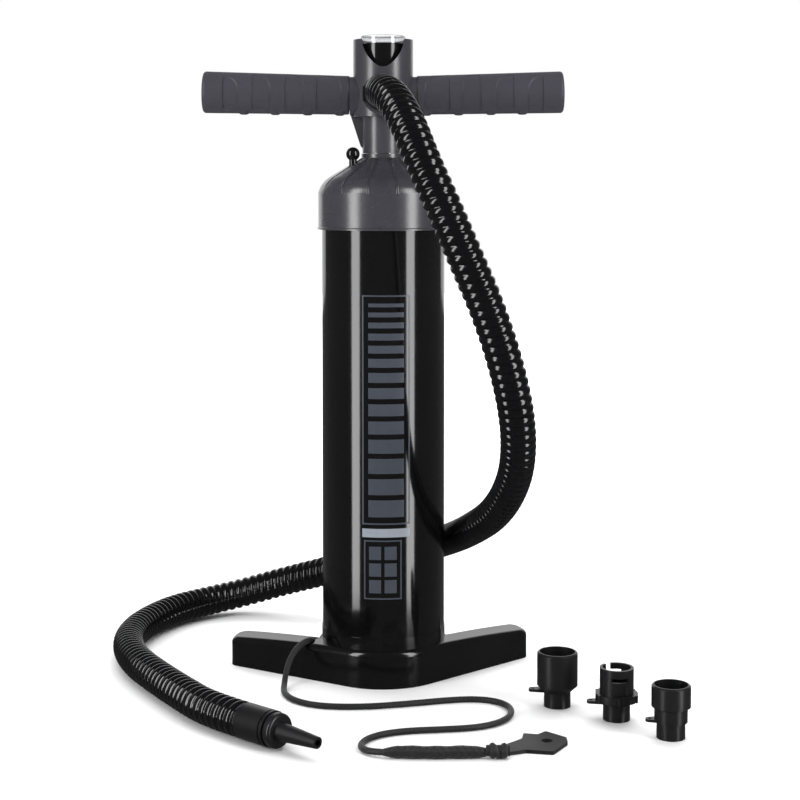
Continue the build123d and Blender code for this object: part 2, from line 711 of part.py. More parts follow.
# ---- handle: one moulding with the neck, the bar's core, the gauge's cup and the hose port -------
with BuildPart() as handle_body:
    with BuildSketch(Plane.XY.offset(neck_bottom)):
        Circle(neck_radius)
    extrude(amount=neck_length)
    with BuildSketch(Plane.XY.offset(bar_bottom - head_skirt)):
        Circle(head_radius)
    extrude(amount=head_rim - bar_bottom + head_skirt)
    with BuildSketch(Plane.YZ.offset(-collar_reach)):
        with Locations((0, bar_height)):
            Circle(grip_root_radius)
    extrude(amount=2 * collar_reach)
    for side in (-1, 1):
        rise = radians(grip_rise)
        outwards = (side * cos(rise), 0, sin(rise))
        with BuildSketch(Plane(origin=(0, 0, bar_height), x_dir=(0, 1, 0), z_dir=outwards)):
            Circle(bar_core_radius)
        extrude(amount=grip_reach - grip_end_wall)
    with BuildSketch(Plane.XZ):
        with BuildLine():
            Polyline(
                (-web_reach, bar_height),
                (-web_reach, bar_bottom),
                (-neck_radius - web_foot, neck_bottom + 2 * web_foot_height),
                (-neck_radius + web_foot, neck_bottom + web_foot_height),
                (neck_radius - web_foot, neck_bottom + web_foot_height),
                (neck_radius + web_foot, neck_bottom + 2 * web_foot_height),
                (web_reach, bar_bottom),
                (web_reach, bar_height),
                (-web_reach, bar_height),
            )
        make_face()
    extrude(amount=web_thickness / 2, both=True)
    with BuildSketch(Plane.XZ):
        with Locations((0, bar_height)):
            Circle(port_boss_radius)
    extrude(amount=port_face)
    with BuildSketch(Plane.XY.offset(pocket_floor)):
        Circle(gauge_radius + running)
    extrude(amount=head_rim - pocket_floor, mode=Mode.SUBTRACT)
    with BuildSketch(Plane.XZ):
        with BuildLine():
            Bezier(
                (-scallop_width / 2, head_rim + 1),
                (-scallop_width / 2, head_rim - scallop_depth / 2),
                (-scallop_width / 5, head_rim - scallop_depth),
                (0, head_rim - scallop_depth),
            )
            Bezier(
                (0, head_rim - scallop_depth),
                (scallop_width / 5, head_rim - scallop_depth),
                (scallop_width / 2, head_rim - scallop_depth / 2),
                (scallop_width / 2, head_rim + 1),
            )
            Line((scallop_width / 2, head_rim + 1), (-scallop_width / 2, head_rim + 1))
        make_face()
    extrude(amount=head_radius + 1, mode=Mode.SUBTRACT)
    with BuildSketch(Plane.XY.offset(neck_bottom)):
        Circle(rod_radius)
    extrude(amount=rod_top - neck_bottom, mode=Mode.SUBTRACT)
    with BuildSketch(Plane.XY.offset(rod_top)):
        Circle(rod_radius - rod_wall)
    extrude(amount=bar_height + port_bore_radius / 2 - rod_top, mode=Mode.SUBTRACT)
    with BuildSketch(Plane.XZ):
        with Locations((0, bar_height)):
            Circle(port_bore_radius)
    extrude(amount=port_face, mode=Mode.SUBTRACT)
    with BuildSketch(Plane.XY.offset(bar_height)):
        Circle(gauge_stem_radius)
    extrude(amount=pocket_floor - bar_height, mode=Mode.SUBTRACT)
    with BuildSketch(Plane.XZ):
        with Locations((0, rod_screw_height)):
            Circle(screw_core_radius)
    extrude(amount=-neck_radius, mode=Mode.SUBTRACT)
    with BuildSketch(Plane.XZ.offset(-neck_radius)):
        with Locations((0, rod_screw_height)):
            Circle(screw_head_radius + fit)
    extrude(amount=screw_head_height + 0.6, mode=Mode.SUBTRACT)
finish(handle_body.part, "handle_body")

with BuildPart() as rod_screw:
    with BuildSketch(Plane.XZ.offset(-neck_radius)):
        with Locations((0, rod_screw_height)):
            Circle(screw_head_radius)
    extrude(amount=screw_head_height)
    with BuildSketch(Plane.XZ.offset(screw_head_height - neck_radius)):
        with Locations((0, rod_screw_height)):
            Circle(screw_core_radius)
    extrude(amount=neck_radius - rod_radius + 2 * rod_wall - screw_head_height)
finish(rod_screw.part, "rod_screw")

# ---- grips: soft sleeves pushed over the bar's core, closed at their ends, with finger panels ----
grip_panels = ((36.0, 58.2), (68.7, 85.4), (98.2, 114.1), (126.1, 139.6))
grip_start = collar_reach + grip_gap
for side, name in ((-1, "left_grip"), (1, "right_grip")):
    rise = radians(grip_rise)
    grip_plane = Plane(origin=(0, 0, bar_height), x_dir=(side * cos(rise), 0, sin(rise)), z_dir=(0, -side, 0))
    taper = (grip_end_radius - grip_root_radius) / (grip_reach - grip_start)
    outline = [(grip_start, bar_core_radius + fit), (grip_start, grip_root_radius)]
    for near, far in grip_panels:
        near_radius = grip_root_radius + (near - grip_start) * taper
        far_radius = grip_root_radius + (far - grip_start) * taper
        outline.append((near, near_radius))
        outline.append((near + grip_panel_depth, near_radius - grip_panel_depth))
        outline.append((far - grip_panel_depth, far_radius - grip_panel_depth))
        outline.append((far, far_radius))
    outline.append((grip_reach - grip_end_round, grip_end_radius))
    outline.append((grip_reach, grip_end_radius - grip_end_round))
    outline.append((grip_reach, 0))
    outline.append((grip_reach - grip_end_wall + fit, 0))
    outline.append((grip_reach - grip_end_wall + fit, bar_core_radius + fit))
    with BuildPart() as grip:
        with BuildSketch(grip_plane):
            with BuildLine():
                Polyline(*outline, close=True)
            make_face()
        revolve(axis=Axis(grip_plane.origin, grip_plane.x_dir))
    finish(grip.part, name)

# ---- gauge ---------------------------------------------------------------------------------------
movement_top = gauge_seat - dial_drop - dial_thickness
with BuildPart() as gauge_body:
    with BuildSketch(Plane.XY.offset(pocket_floor)):
        Circle(gauge_radius)
    extrude(amount=gauge_body_height)
    with BuildSketch(Plane.XY.offset(pocket_floor + gauge_body_wall)):
        Circle(gauge_radius - gauge_body_wall)
    extrude(amount=gauge_body_height, mode=Mode.SUBTRACT)
    with BuildSketch(Plane.XY.offset(pocket_floor)):
        Circle(gauge_stem_radius)
    extrude(amount=gauge_body_wall, mode=Mode.SUBTRACT)
finish(gauge_body.part, "gauge_body")

movement_bottom = pocket_floor + gauge_body_wall + movement_gap
with BuildPart() as gauge_stem:
    with BuildSketch(Plane.XY.offset(bar_height + port_bore_radius + stem_gap)):
        Circle(gauge_stem_radius)
        Circle(gauge_stem_radius / 3, mode=Mode.SUBTRACT)
    extrude(amount=movement_bottom - bar_height - port_bore_radius - stem_gap)
finish(gauge_stem.part, "gauge_stem")

with BuildPart() as gauge_movement:
    with BuildSketch(Plane.XY.offset(movement_bottom)):
        Circle(movement_radius)
    extrude(amount=movement_top - movement_bottom)
    with BuildSketch(Plane.XY.offset(movement_top - shaft_depth - cut_margin)):
        Circle(needle_shaft_radius + shaft_clearance)
    extrude(amount=shaft_depth + cut_margin, mode=Mode.SUBTRACT)
finish(gauge_movement.part, "gauge_movement")

with BuildPart() as gauge_dial:
    with BuildSketch(Plane.XY.offset(movement_top)):
        Circle(gauge_radius - gauge_body_wall - fit)
        Circle(needle_shaft_radius + running, mode=Mode.SUBTRACT)
    extrude(amount=dial_thickness)
finish(gauge_dial.part, "gauge_dial")

needle_height = gauge_seat - dial_drop + needle_lift
needle_heading = radians(225)
with BuildPart() as gauge_needle:
    with BuildSketch(Plane.XY.offset(movement_top - shaft_depth)):
        Circle(needle_shaft_radius)
    extrude(amount=needle_height - movement_top + shaft_depth)
    with BuildSketch(Plane.XY.offset(needle_height)):
        Circle(gauge_hub_radius)
        tip = (needle_length * cos(needle_heading), needle_length * sin(needle_heading))
        side_x = needle_half_width * sin(needle_heading)
        side_y = needle_half_width * cos(needle_heading)
        Polygon(tip, (side_x, -side_y), (-tip[0] / 3, -tip[1] / 3), (-side_x, side_y), align=None)
    extrude(amount=needle_thickness)
finish(gauge_needle.part, "gauge_needle")

with BuildPart() as gauge_lens:
    with BuildSketch(Plane.XY.offset(gauge_seat)):
        Circle(gauge_radius)
    extrude(amount=lens_height)
    fillet(gauge_lens.faces().sort_by(Axis.Z)[-1].edges(), radius=lens_wall / 2)
    with BuildSketch(Plane.XY.offset(gauge_seat)):
        Circle(gauge_radius - lens_wall)
    extrude(amount=lens_height - lens_wall, mode=Mode.SUBTRACT)
finish(gauge_lens.part, "gauge_lens")

# ---- hose connector: a ribbed spigot with a collar and two ears, and the cuff that holds the hose ----
collar_front = port_face + connector_collar_length
cuff_front = collar_front + cuff_length
with BuildPart() as hose_connector:
    with BuildSketch(Plane.XZ.offset(port_face - connector_spigot)):
        with Locations((0, bar_height)):
            Circle(port_bore_radius - fit)
    extrude(amount=connector_spigot)
    with BuildSketch(Plane.XZ.offset(port_face - connector_spigot + seal_section)):
        with Locations((0, bar_height)):
            Circle(port_bore_radius)
            Circle(port_bore_radius - seal_section / 2, mode=Mode.SUBTRACT)
    extrude(amount=seal_section / 2, mode=Mode.SUBTRACT)
    with BuildSketch(Plane.XZ.offset(port_face)):
        with Locations((0, bar_height)):
            Circle(connector_collar_radius)
    extrude(amount=connector_collar_length)
    with BuildSketch(Plane.XZ.offset(port_face + 1)):
        with Locations((0, bar_height)):
            RectangleRounded(2 * ear_reach, ear_width, 2.0)
    extrude(amount=connector_collar_length - 3)
    with BuildSketch(Plane.XZ.offset(collar_front)):
        with Locations((0, bar_height)):
            Circle(cuff_radius)
    extrude(amount=cuff_length)
    with BuildSketch(Plane.XZ.offset(port_face - connector_spigot)):
        with Locations((0, bar_height)):
            Circle(hose_radius / 2)
    extrude(amount=connector_spigot + connector_collar_length + cuff_length, mode=Mode.SUBTRACT)
finish(hose_connector.part, "hose_connector")

with BuildPart() as port_seal:
    with BuildSketch(Plane.XZ.offset(port_face - connector_spigot + seal_section)):
        with Locations((0, bar_height)):
            Circle(port_bore_radius)
            Circle(port_bore_radius - seal_section / 2, mode=Mode.SUBTRACT)
    extrude(amount=seal_section / 2)
finish(port_seal.part, "port_seal")

# ---- hose: out to the front, down the right side, round the back and along the floor to the spout ----
hose_route = [
    (0, -cuff_front, bar_height),
    (0, -108, bar_height),
    (10, -143, 503),
    (21, -171, 482),
    (32, -189, 453),
    (44.5, -198, 418),
    (58, -199, 380),
    (75, -193, 339),
    (90, -184, 293),
    (100, -168, 248),
    (103, -140, 209),
    (99, -104, 178),
    (91, -62, 152),
    (79, -18, 132),
    (66, 33, 114),
    (46, 83, 96),
    (18, 129, 78),
    (-20, 165, 61),
    (-62, 190, 45),
    (-103, 203, 32),
    (-143, 203.5, 20.5),
    (-180, 189, 15),
    (-208, 160, hose_radius),
    (-225, 121, hose_radius),
    (-235.5, 77, hose_radius),
    (-234, 30, hose_radius),
    (-219, -20, hose_radius),
    (-192, -70, hose_radius),
    (-165, -115, hose_radius),
    (-139, -156.3, hose_radius),
    (-106, -186, hose_radius),
]


def corner_radii(route, name):
    """The largest arcs that a route's corners have room for, and a print of the smallest one."""
    radii = []
    for before, here, after in zip(route, route[1:], route[2:]):
        run_in = Vector(*here) - Vector(*before)
        run_out = Vector(*after) - Vector(*here)
        half_turn = radians(run_in.get_angle(run_out)) / 2
        radii.append(0.45 * min(run_in.length, run_out.length) / tan(half_turn))
    print(name, "corner radii", [round(r) for r in radii])
    return radii


with BuildPart() as hose_tube:
    with BuildLine() as hose_line:
        FilletPolyline(*hose_route, radius=corner_radii(hose_route, "hose"))
    with BuildSketch(Plane(origin=hose_line.line @ 0, z_dir=hose_line.line % 0)):
        Circle(hose_radius)
        Circle(hose_radius - hose_wall, mode=Mode.SUBTRACT)
    sweep()
finish(hose_tube.part, "hose_tube")
hose_length = hose_line.wires()[0].length
print(f"hose length {hose_length:.0f} mm")

spout_base = on_floor(hose_route[-1], spout_turn, hose_radius)
with BuildPart() as hose_end_cuff:
    with BuildSketch(spout_base):
        Circle(end_cuff_radius)
    extrude(amount=end_cuff_length)
    with BuildSketch(spout_base.offset(end_cuff_length - cuff_groove_place)):
        Circle(end_cuff_radius)
        Circle(end_cuff_radius - cuff_groove_depth, mode=Mode.SUBTRACT)
    extrude(amount=cuff_groove_width, mode=Mode.SUBTRACT)
    with BuildSketch(spout_base):
        Circle(spout_root_radius + shaft_clearance)
    extrude(amount=end_cuff_length, mode=Mode.SUBTRACT)
finish(hose_end_cuff.part, "hose_end_cuff")

spout_foot = spout_base.offset(end_cuff_length)
with BuildPart() as spout:
    with BuildSketch(spout_foot.offset(-spout_plug_length)):
        Circle(spout_root_radius)
    extrude(amount=spout_plug_length)
    with BuildSketch(spout_foot):
        Circle(spout_disc_radius)
    extrude(amount=spout_disc_thickness)
    fillet(spout.edges().filter_by(GeomType.CIRCLE).sort_by(SortBy.RADIUS)[-2:], radius=spout_disc_round)
    with BuildSketch(spout_foot.offset(spout_disc_thickness)):
        Circle(spout_root_radius)
    with BuildSketch(spout_foot.offset(spout_disc_thickness + spout_length)):
        Circle(spout_tip_radius)
    loft()
    with BuildSketch(spout_foot.offset(-spout_plug_length)):
        Circle(spout_bore_radius)
    extrude(amount=spout_plug_length + spout_disc_thickness + spout_length, mode=Mode.SUBTRACT)
finish(spout.part, "spout")

# ---- leash: up out of the left wing, over its front edge and along the floor ----
leash_route = [
    (-60.5, -6, 25.5),
    (-62.5, -15, 32.5),
    (-68.5, -25, 33.5),
    (-76, -34, 29.5),
    (-81.5, -41, 21),
    (-84.3, -46, 11),
    (-85, -54, 4.5),
    (-85, -65, leash_radius),
    (-83, -78, leash_radius),
    (-76, -93, leash_radius),
    (-62, -106, leash_radius),
    (-41, -113, leash_radius),
    (-11, -112.5, leash_radius),
    (21, -105, leash_radius),
    (51, -96, leash_radius),
    (75, -91.5, leash_radius),
    (93, -96, leash_radius),
    (104, -108, leash_radius),
    (107, -124, leash_radius),
    (103, -142, leash_radius),
    (92, -157, leash_radius),
    (74, -167, leash_radius),
    (48, -171, leash_radius),
    (22, -174, leash_radius),
    (2, -181, leash_radius),
    (-11, -193, leash_radius),
    (-16, -207, leash_radius),
    (-14, -219, 3),
    (-6, -228, 4),
    (5, -231, splice_radius),
]

with BuildPart() as leash_cord:
    with BuildLine() as leash_line:
        FilletPolyline(*leash_route, radius=corner_radii(leash_route, "leash"))
    with BuildSketch(Plane(origin=leash_line.line @ 0, z_dir=leash_line.line % 0)):
        Circle(leash_radius)
    sweep()
finish(leash_cord.part, "leash_cord")
leash_length = leash_line.wires()[0].length
print(f"leash length {leash_length:.0f} mm")

splice_base = on_floor(leash_route[-1], 0, splice_radius)
with BuildPart() as leash_splice:
    with BuildSketch(splice_base):
        Circle(splice_radius)
    extrude(amount=splice_length)
    fillet(leash_splice.edges().filter_by(GeomType.CIRCLE), radius=splice_radius * 0.4)
finish(leash_splice.part, "leash_splice")

knot_start = (leash_route[-1][0] + splice_length, leash_route[-1][1])
with BuildPart() as leash_knot:
    with BuildSketch(on_floor(knot_start, 0, knot_radius)):
        Circle(knot_radius)
    extrude(amount=knot_length)
    fillet(leash_knot.edges().filter_by(GeomType.CIRCLE), radius=knot_radius * 0.6)
finish(leash_knot.part, "leash_knot")

tab_outline = [
    (96, -226),
    (111, -220),
    (132, -224),
    (145, -201),
    (145, -191),
    (130, -176),
    (123, -184),
    (112, -181),
    (110, -194),
    (96, -208),
]
with BuildPart() as leash_tab:
    with BuildSketch(Plane.XY):
        Polygon(*tab_outline, align=None)
        with Locations(tab_hole):
            Circle(tab_hole_radius, mode=Mode.SUBTRACT)
    extrude(amount=tab_thickness)
    tab_corners = leash_tab.edges().filter_by(Axis.Z).filter_by(lambda e: e.center().X > tab_root)
    fillet(tab_corners, radius=tab_round)
finish(leash_tab.part, "leash_tab")

# ---- loose valve adapters, standing on the floor with their cups upwards -------------------------


def draw_eyelet(place, reach):
    """Adds an eyelet to the open sketch: a tongue to the left with a round end and a hole."""
    end = (place[0] - reach + eyelet_end_radius, place[1])
    Polygon(
        (place[0] - eyelet_root, place[1] + eyelet_width / 2),
        (place[0] - eyelet_root, place[1] - eyelet_width / 2),
        (end[0], end[1] - eyelet_end_radius),
        (end[0], end[1] + eyelet_end_radius),
        align=None,
    )
    with Locations(end):
        Circle(eyelet_end_radius)
        Circle(eyelet_hole_radius, mode=Mode.SUBTRACT)


def upright_plane(place):
    """A vertical plane through a place, its x along the radius and its y upwards."""
    return Plane(origin=(place[0], place[1], 0), x_dir=(1, 0, 0), z_dir=(0, -1, 0))


with BuildPart() as cup_adapter:
    with BuildSketch(upright_plane(cup_place)):
        with BuildLine():
            Polyline(
                (adapter_bore_radius, 0),
                (cup_neck_radius, 0),
                (cup_neck_radius, cup_neck_height),
                (cup_radius, cup_shoulder_height),
                (cup_radius, cup_height - adapter_rim),
                (cup_radius - adapter_rim, cup_height),
                (cup_radius - adapter_wall, cup_height),
                (cup_radius - adapter_wall, cup_shoulder_height + adapter_wall),
                (adapter_bore_radius, cup_neck_height + adapter_wall),
                close=True,
            )
        make_face()
    revolve(axis=Axis((*cup_place, 0), (0, 0, 1)))
    with BuildSketch(Plane.XY.offset(cup_neck_height)):
        draw_eyelet(cup_place, cup_radius + eyelet_reach)
    extrude(amount=eyelet_thickness)
finish(cup_adapter.part, "cup_adapter")

slot_top = bayonet_height - bayonet_hook
slot_bottom = slot_top - bayonet_slot
window_bottom = slot_bottom + bayonet_window_drop
with BuildPart() as bayonet_adapter:
    with BuildSketch(upright_plane(bayonet_place)):
        with BuildLine():
            Polyline(
                (adapter_bore_radius, 0),
                (bayonet_neck_radius, 0),
                (bayonet_neck_radius, bayonet_neck_height),
                (bayonet_flange_radius, bayonet_neck_height + bayonet_flange_rise),
                (bayonet_flange_radius, bayonet_neck_height + bayonet_flange_height),
                (bayonet_radius, bayonet_neck_height + bayonet_flange_height),
                (bayonet_radius, bayonet_height),
                (bayonet_radius - adapter_wall, bayonet_height),
                (bayonet_radius - adapter_wall, bayonet_neck_height + adapter_wall),
                (adapter_bore_radius, bayonet_neck_height + adapter_wall),
                close=True,
            )
        make_face()
    revolve(axis=Axis((*bayonet_place, 0), (0, 0, 1)))
    for low, high, start, end in (
        (slot_bottom, bayonet_height, slot_entry_start, slot_entry_end),
        (slot_bottom, slot_top, slot_entry_start, slot_run_end),
        (window_bottom, window_bottom + bayonet_window_height, window_start, window_end),
    ):
        with BuildSketch(Plane.XY.offset(low)):
            with BuildLine():
                cut_outer = bayonet_radius + cut_margin
                cut_inner = bayonet_radius - adapter_wall - cut_margin
                CenterArc(bayonet_place, cut_outer, start, end - start)
                CenterArc(bayonet_place, cut_inner, start, end - start)
                for angle in (start, end):
                    ray = Vector(cos(radians(angle)), sin(radians(angle)))
                    centre = Vector(*bayonet_place)
                    Line(centre + ray * cut_outer, centre + ray * cut_inner)
            make_face()
        extrude(amount=high - low, mode=Mode.SUBTRACT)
    with BuildSketch(Plane.XY.offset(bayonet_neck_height)):
        draw_eyelet(bayonet_place, bayonet_flange_radius + eyelet_reach)
    extrude(amount=eyelet_thickness)
    with BuildSketch(Plane.XY.offset(bayonet_neck_height + bayonet_flange_rise)):
        with Locations(bayonet_place):
            with PolarLocations(bayonet_flange_radius, bayonet_lugs, start_angle=180 / bayonet_lugs):
                Circle(bayonet_lug_radius)
    extrude(amount=bayonet_flange_height - bayonet_flange_rise)
finish(bayonet_adapter.part, "bayonet_adapter")

with BuildPart() as slim_adapter:
    with BuildSketch(upright_plane(slim_place)):
        with BuildLine():
            Polyline(
                (adapter_bore_radius, 0),
                (slim_neck_radius, 0),
                (slim_neck_radius, slim_neck_height),
                (slim_waist_radius, slim_neck_height),
                (slim_waist_radius, slim_waist_height),
                (slim_radius, slim_waist_height + adapter_rim),
                (slim_radius, slim_height - adapter_rim),
                (slim_radius - adapter_rim, slim_height),
                (slim_radius - adapter_wall, slim_height),
                (slim_radius - adapter_wall, slim_waist_height + adapter_wall),
                (adapter_bore_radius, slim_waist_height + adapter_wall),
                close=True,
            )
        make_face()
    revolve(axis=Axis((*slim_place, 0), (0, 0, 1)))
    with BuildSketch(Plane.XY.offset(slim_waist_height + adapter_wall)):
        with Locations(slim_place):
            with PolarLocations(slim_radius - adapter_wall, 4, start_angle=45):
                Circle(slim_key_radius)
    extrude(amount=slim_height - slim_waist_height - 2 * adapter_wall)
    with BuildSketch(Plane.XY.offset(slim_neck_height)):
        draw_eyelet(slim_place, slim_waist_radius + eyelet_reach)
    extrude(amount=eyelet_thickness)
finish(slim_adapter.part, "slim_adapter")
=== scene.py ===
"""Looks of a double action hand pump.

It has a handle, a gauge, a cap, a barrel, a foot, a ribbed hose, a braided leash and three loose adapters.

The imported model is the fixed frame. Lengths are in metres, apart from the sizes whose names end in _mm.
"""

from math import atan2, cos, pi, radians, sin, sqrt

import bmesh
import bpy
from bpy.props import FloatProperty, PointerProperty, StringProperty
from mathutils import Matrix, Vector


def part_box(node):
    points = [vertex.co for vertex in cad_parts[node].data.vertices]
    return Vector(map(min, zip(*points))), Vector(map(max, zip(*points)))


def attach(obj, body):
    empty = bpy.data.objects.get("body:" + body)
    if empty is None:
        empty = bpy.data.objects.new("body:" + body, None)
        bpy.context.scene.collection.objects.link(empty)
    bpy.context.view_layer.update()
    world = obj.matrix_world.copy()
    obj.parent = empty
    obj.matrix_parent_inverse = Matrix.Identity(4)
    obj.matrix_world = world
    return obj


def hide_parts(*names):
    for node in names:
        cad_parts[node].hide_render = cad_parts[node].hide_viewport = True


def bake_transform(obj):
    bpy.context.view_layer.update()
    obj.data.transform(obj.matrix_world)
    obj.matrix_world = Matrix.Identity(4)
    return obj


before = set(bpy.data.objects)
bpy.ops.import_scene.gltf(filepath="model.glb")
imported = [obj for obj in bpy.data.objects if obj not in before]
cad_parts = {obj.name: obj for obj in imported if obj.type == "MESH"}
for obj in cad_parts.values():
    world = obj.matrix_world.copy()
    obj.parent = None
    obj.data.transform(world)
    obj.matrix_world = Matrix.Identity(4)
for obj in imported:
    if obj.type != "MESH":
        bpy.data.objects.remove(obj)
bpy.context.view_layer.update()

bl_info = {
    "name": "Double action hand pump",
    "version": (1, 0, 0),
    "blender": (4, 5, 0),
    "location": "View3D > Sidebar > Hand pump",
    "description": "Builds the looks of a double action hand pump around its packed frame",
    "category": "Object",
}

MM = 0.001
UP = Vector((0, 0, 1))
SHARP_EDGE = radians(40)  # edges that turn more than this stay crisp
RIBBED_EDGE = radians(100)  # the ribs and the braid are smooth all over
COAT_ROUGHNESS = 0.22
SCALE_START = 225  # degrees: where the dial's scale begins
SCALE_SWEEP = 270


# ---- places that come from the frame -------------------------------------------------------------
def node_box(name):
    """A node's lowest and highest corners as vectors."""
    low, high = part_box(name)
    return Vector(low), Vector(high)


def node_middle(name):
    """The middle of a node's box."""
    low, high = node_box(name)
    return (low + high) / 2


def bar_height():
    """The height of the handle bar's middle, where the hose leaves."""
    return node_middle("hose_connector").z


def barrel_radius():
    """The barrel's outside radius."""
    low, high = node_box("barrel_tube")
    return (high.x - low.x) / 2


# The routes of the two cords, from the piece they leave to the piece on their far end.
HOSE_ROUTE = [
    (0, -72, 511.5),
    (0, -108, 511.5),
    (10, -143, 503),
    (21, -171, 482),
    (32, -189, 453),
    (48, -198, 418),
    (64.5, -199, 380),
    (82.5, -193, 339),
    (98, -184, 293),
    (108, -168, 248),
    (110, -140, 209),
    (104.5, -104, 178),
    (94, -62, 152),
    (79, -18, 132),
    (66, 33, 114),
    (46, 83, 96),
    (18, 129, 78),
    (-20, 165, 61),
    (-62, 190, 45),
    (-103, 203, 32),
    (-143, 203.5, 20.5),
    (-180, 189, 15),
    (-208, 160, 14.5),
    (-225, 121, 14.5),
    (-235.5, 77, 14.5),
    (-234, 30, 14.5),
    (-219, -20, 14.5),
    (-192, -70, 14.5),
    (-165, -115, 14.5),
    (-139, -156.3, 14.5),
    (-106, -186, 14.5),
]
LEASH_ROUTE = [
    (-60.5, -6, 25.5),
    (-62.5, -15, 32.5),
    (-68.5, -25, 33.5),
    (-76, -34, 29.5),
    (-81.5, -41, 21),
    (-84.3, -46, 11),
    (-85, -54, 4.5),
    (-85, -65, 2.5),
    (-83, -78, 2.5),
    (-76, -93, 2.5),
    (-62, -106, 2.5),
    (-41, -113, 2.5),
    (-11, -112.5, 2.5),
    (21, -105, 2.5),
    (51, -96, 2.5),
    (75, -91.5, 2.5),
    (93, -96, 2.5),
    (104, -108, 2.5),
    (107, -124, 2.5),
    (103, -142, 2.5),
    (92, -157, 2.5),
    (74, -167, 2.5),
    (48, -171, 2.5),
    (22, -174, 2.5),
    (2, -181, 2.5),
    (-11, -193, 2.5),
    (-16, -207, 2.5),
    (-14, -219, 3),
    (-6, -228, 4),
    (5, -231, 4.7),
]


# ---- property groups -----------------------------------------------------------------------------
def colour_property(name, description, default):
    """A colour as an sRGB hex value that a user can type."""
    return StringProperty(name=name, description=description, default=default)


def length_property(name, description, default):
    """A length in metres."""
    return FloatProperty(name=name, description=description, default=default, unit="LENGTH", precision=5)


class PumpSizes(bpy.types.PropertyGroup):
    """Sizes that a user would change."""

    rib_pitch: length_property("Rib pitch", "Distance from one rib of the hose to the next", 7.6 * MM)
    rib_depth: length_property("Rib depth", "Depth of the grooves between the hose's ribs", 2.1 * MM)
    hose_radius: length_property("Hose radius", "Outside radius of the hose over its ribs", 14.5 * MM)
    leash_radius: length_property("Leash radius", "Radius of the leash cord", 2.5 * MM)
    braid_pitch: length_property("Braid pitch", "Length in which one strand goes round once", 13.0 * MM)
    panel_depth: length_property("Grip panel depth", "How far the panels are sunk into the grips", 0.9 * MM)
    label_lift: length_property("Label thickness", "Thickness of the printed film on the barrel", 0.12 * MM)


class PumpColours(bpy.types.PropertyGroup):
    """Colours that a user would change, as sRGB hex values."""

    handle: colour_property("Handle", "Grey of the moulded handle", "3E3D43")
    cap: colour_property("Cap", "Grey of the moulded cap", "3A393F")
    grip: colour_property("Grips", "Grey of the soft grips", "3C3B43")
    gloss: colour_property("Gloss black", "Black of the barrel and the foot", "0B0B0C")
    hose: colour_property("Hose", "Black of the ribbed hose", "08080A")
    adapter: colour_property("Adapters", "Black of the loose adapters", "161618")
    leash: colour_property("Leash", "Black of the braided leash", "1A1A1B")
    floor: colour_property("Floor", "Colour of the studio floor", "FFFFFF")


# ---- materials -----------------------------------------------------------------------------------
def linear(hex_value):
    """Turns an sRGB hex value into a linear colour with alpha 1."""
    channels = [int(hex_value[i : i + 2], 16) / 255 for i in (0, 2, 4)]
    return tuple(c / 12.92 if c <= 0.04045 else ((c + 0.055) / 1.055) ** 2.4 for c in channels) + (1.0,)


def add_node(tree, kind, settings=None, inputs=None):
    """Adds a node, sets its properties, and gives its inputs values or the output sockets of other nodes."""
    node = tree.nodes.new(kind)
    for name, value in (settings or {}).items():
        setattr(node, name, value)
    for name, value in (inputs or {}).items():
        if isinstance(value, bpy.types.NodeSocket):
            tree.links.new(value, node.inputs[name])
        else:
            node.inputs[name].default_value = value
    return node


def start_material(name):
    """A new material with an empty tree: gives the material, its tree and the object coordinates."""
    material = bpy.data.materials.new(name)
    material.use_nodes = True
    tree = material.node_tree
    tree.nodes.clear()
    place = add_node(tree, "ShaderNodeTexCoord")
    return material, tree, place.outputs["Object"]


def finish_material(tree, shader):
    """Links a shader to the material's output."""
    output = add_node(tree, "ShaderNodeOutputMaterial")
    tree.links.new(shader.outputs[0], output.inputs["Surface"])


def set_ramp(node, stops):
    """Gives a colour ramp its stops: (position, linear colour)."""
    elements = node.color_ramp.elements
    while len(elements) < len(stops):
        elements.new(0.5)
    for element, (position, colour) in zip(elements, stops):
        element.position = position
        element.color = colour


def shade(colour, factor):
    """A colour made lighter or darker by a factor."""
    return tuple(min(1.0, c * factor) for c in colour[:3]) + (1.0,)


def per_mm(size_mm):
    """A texture scale whose features measure size_mm, in metre coordinates."""
    return 1000 / size_mm


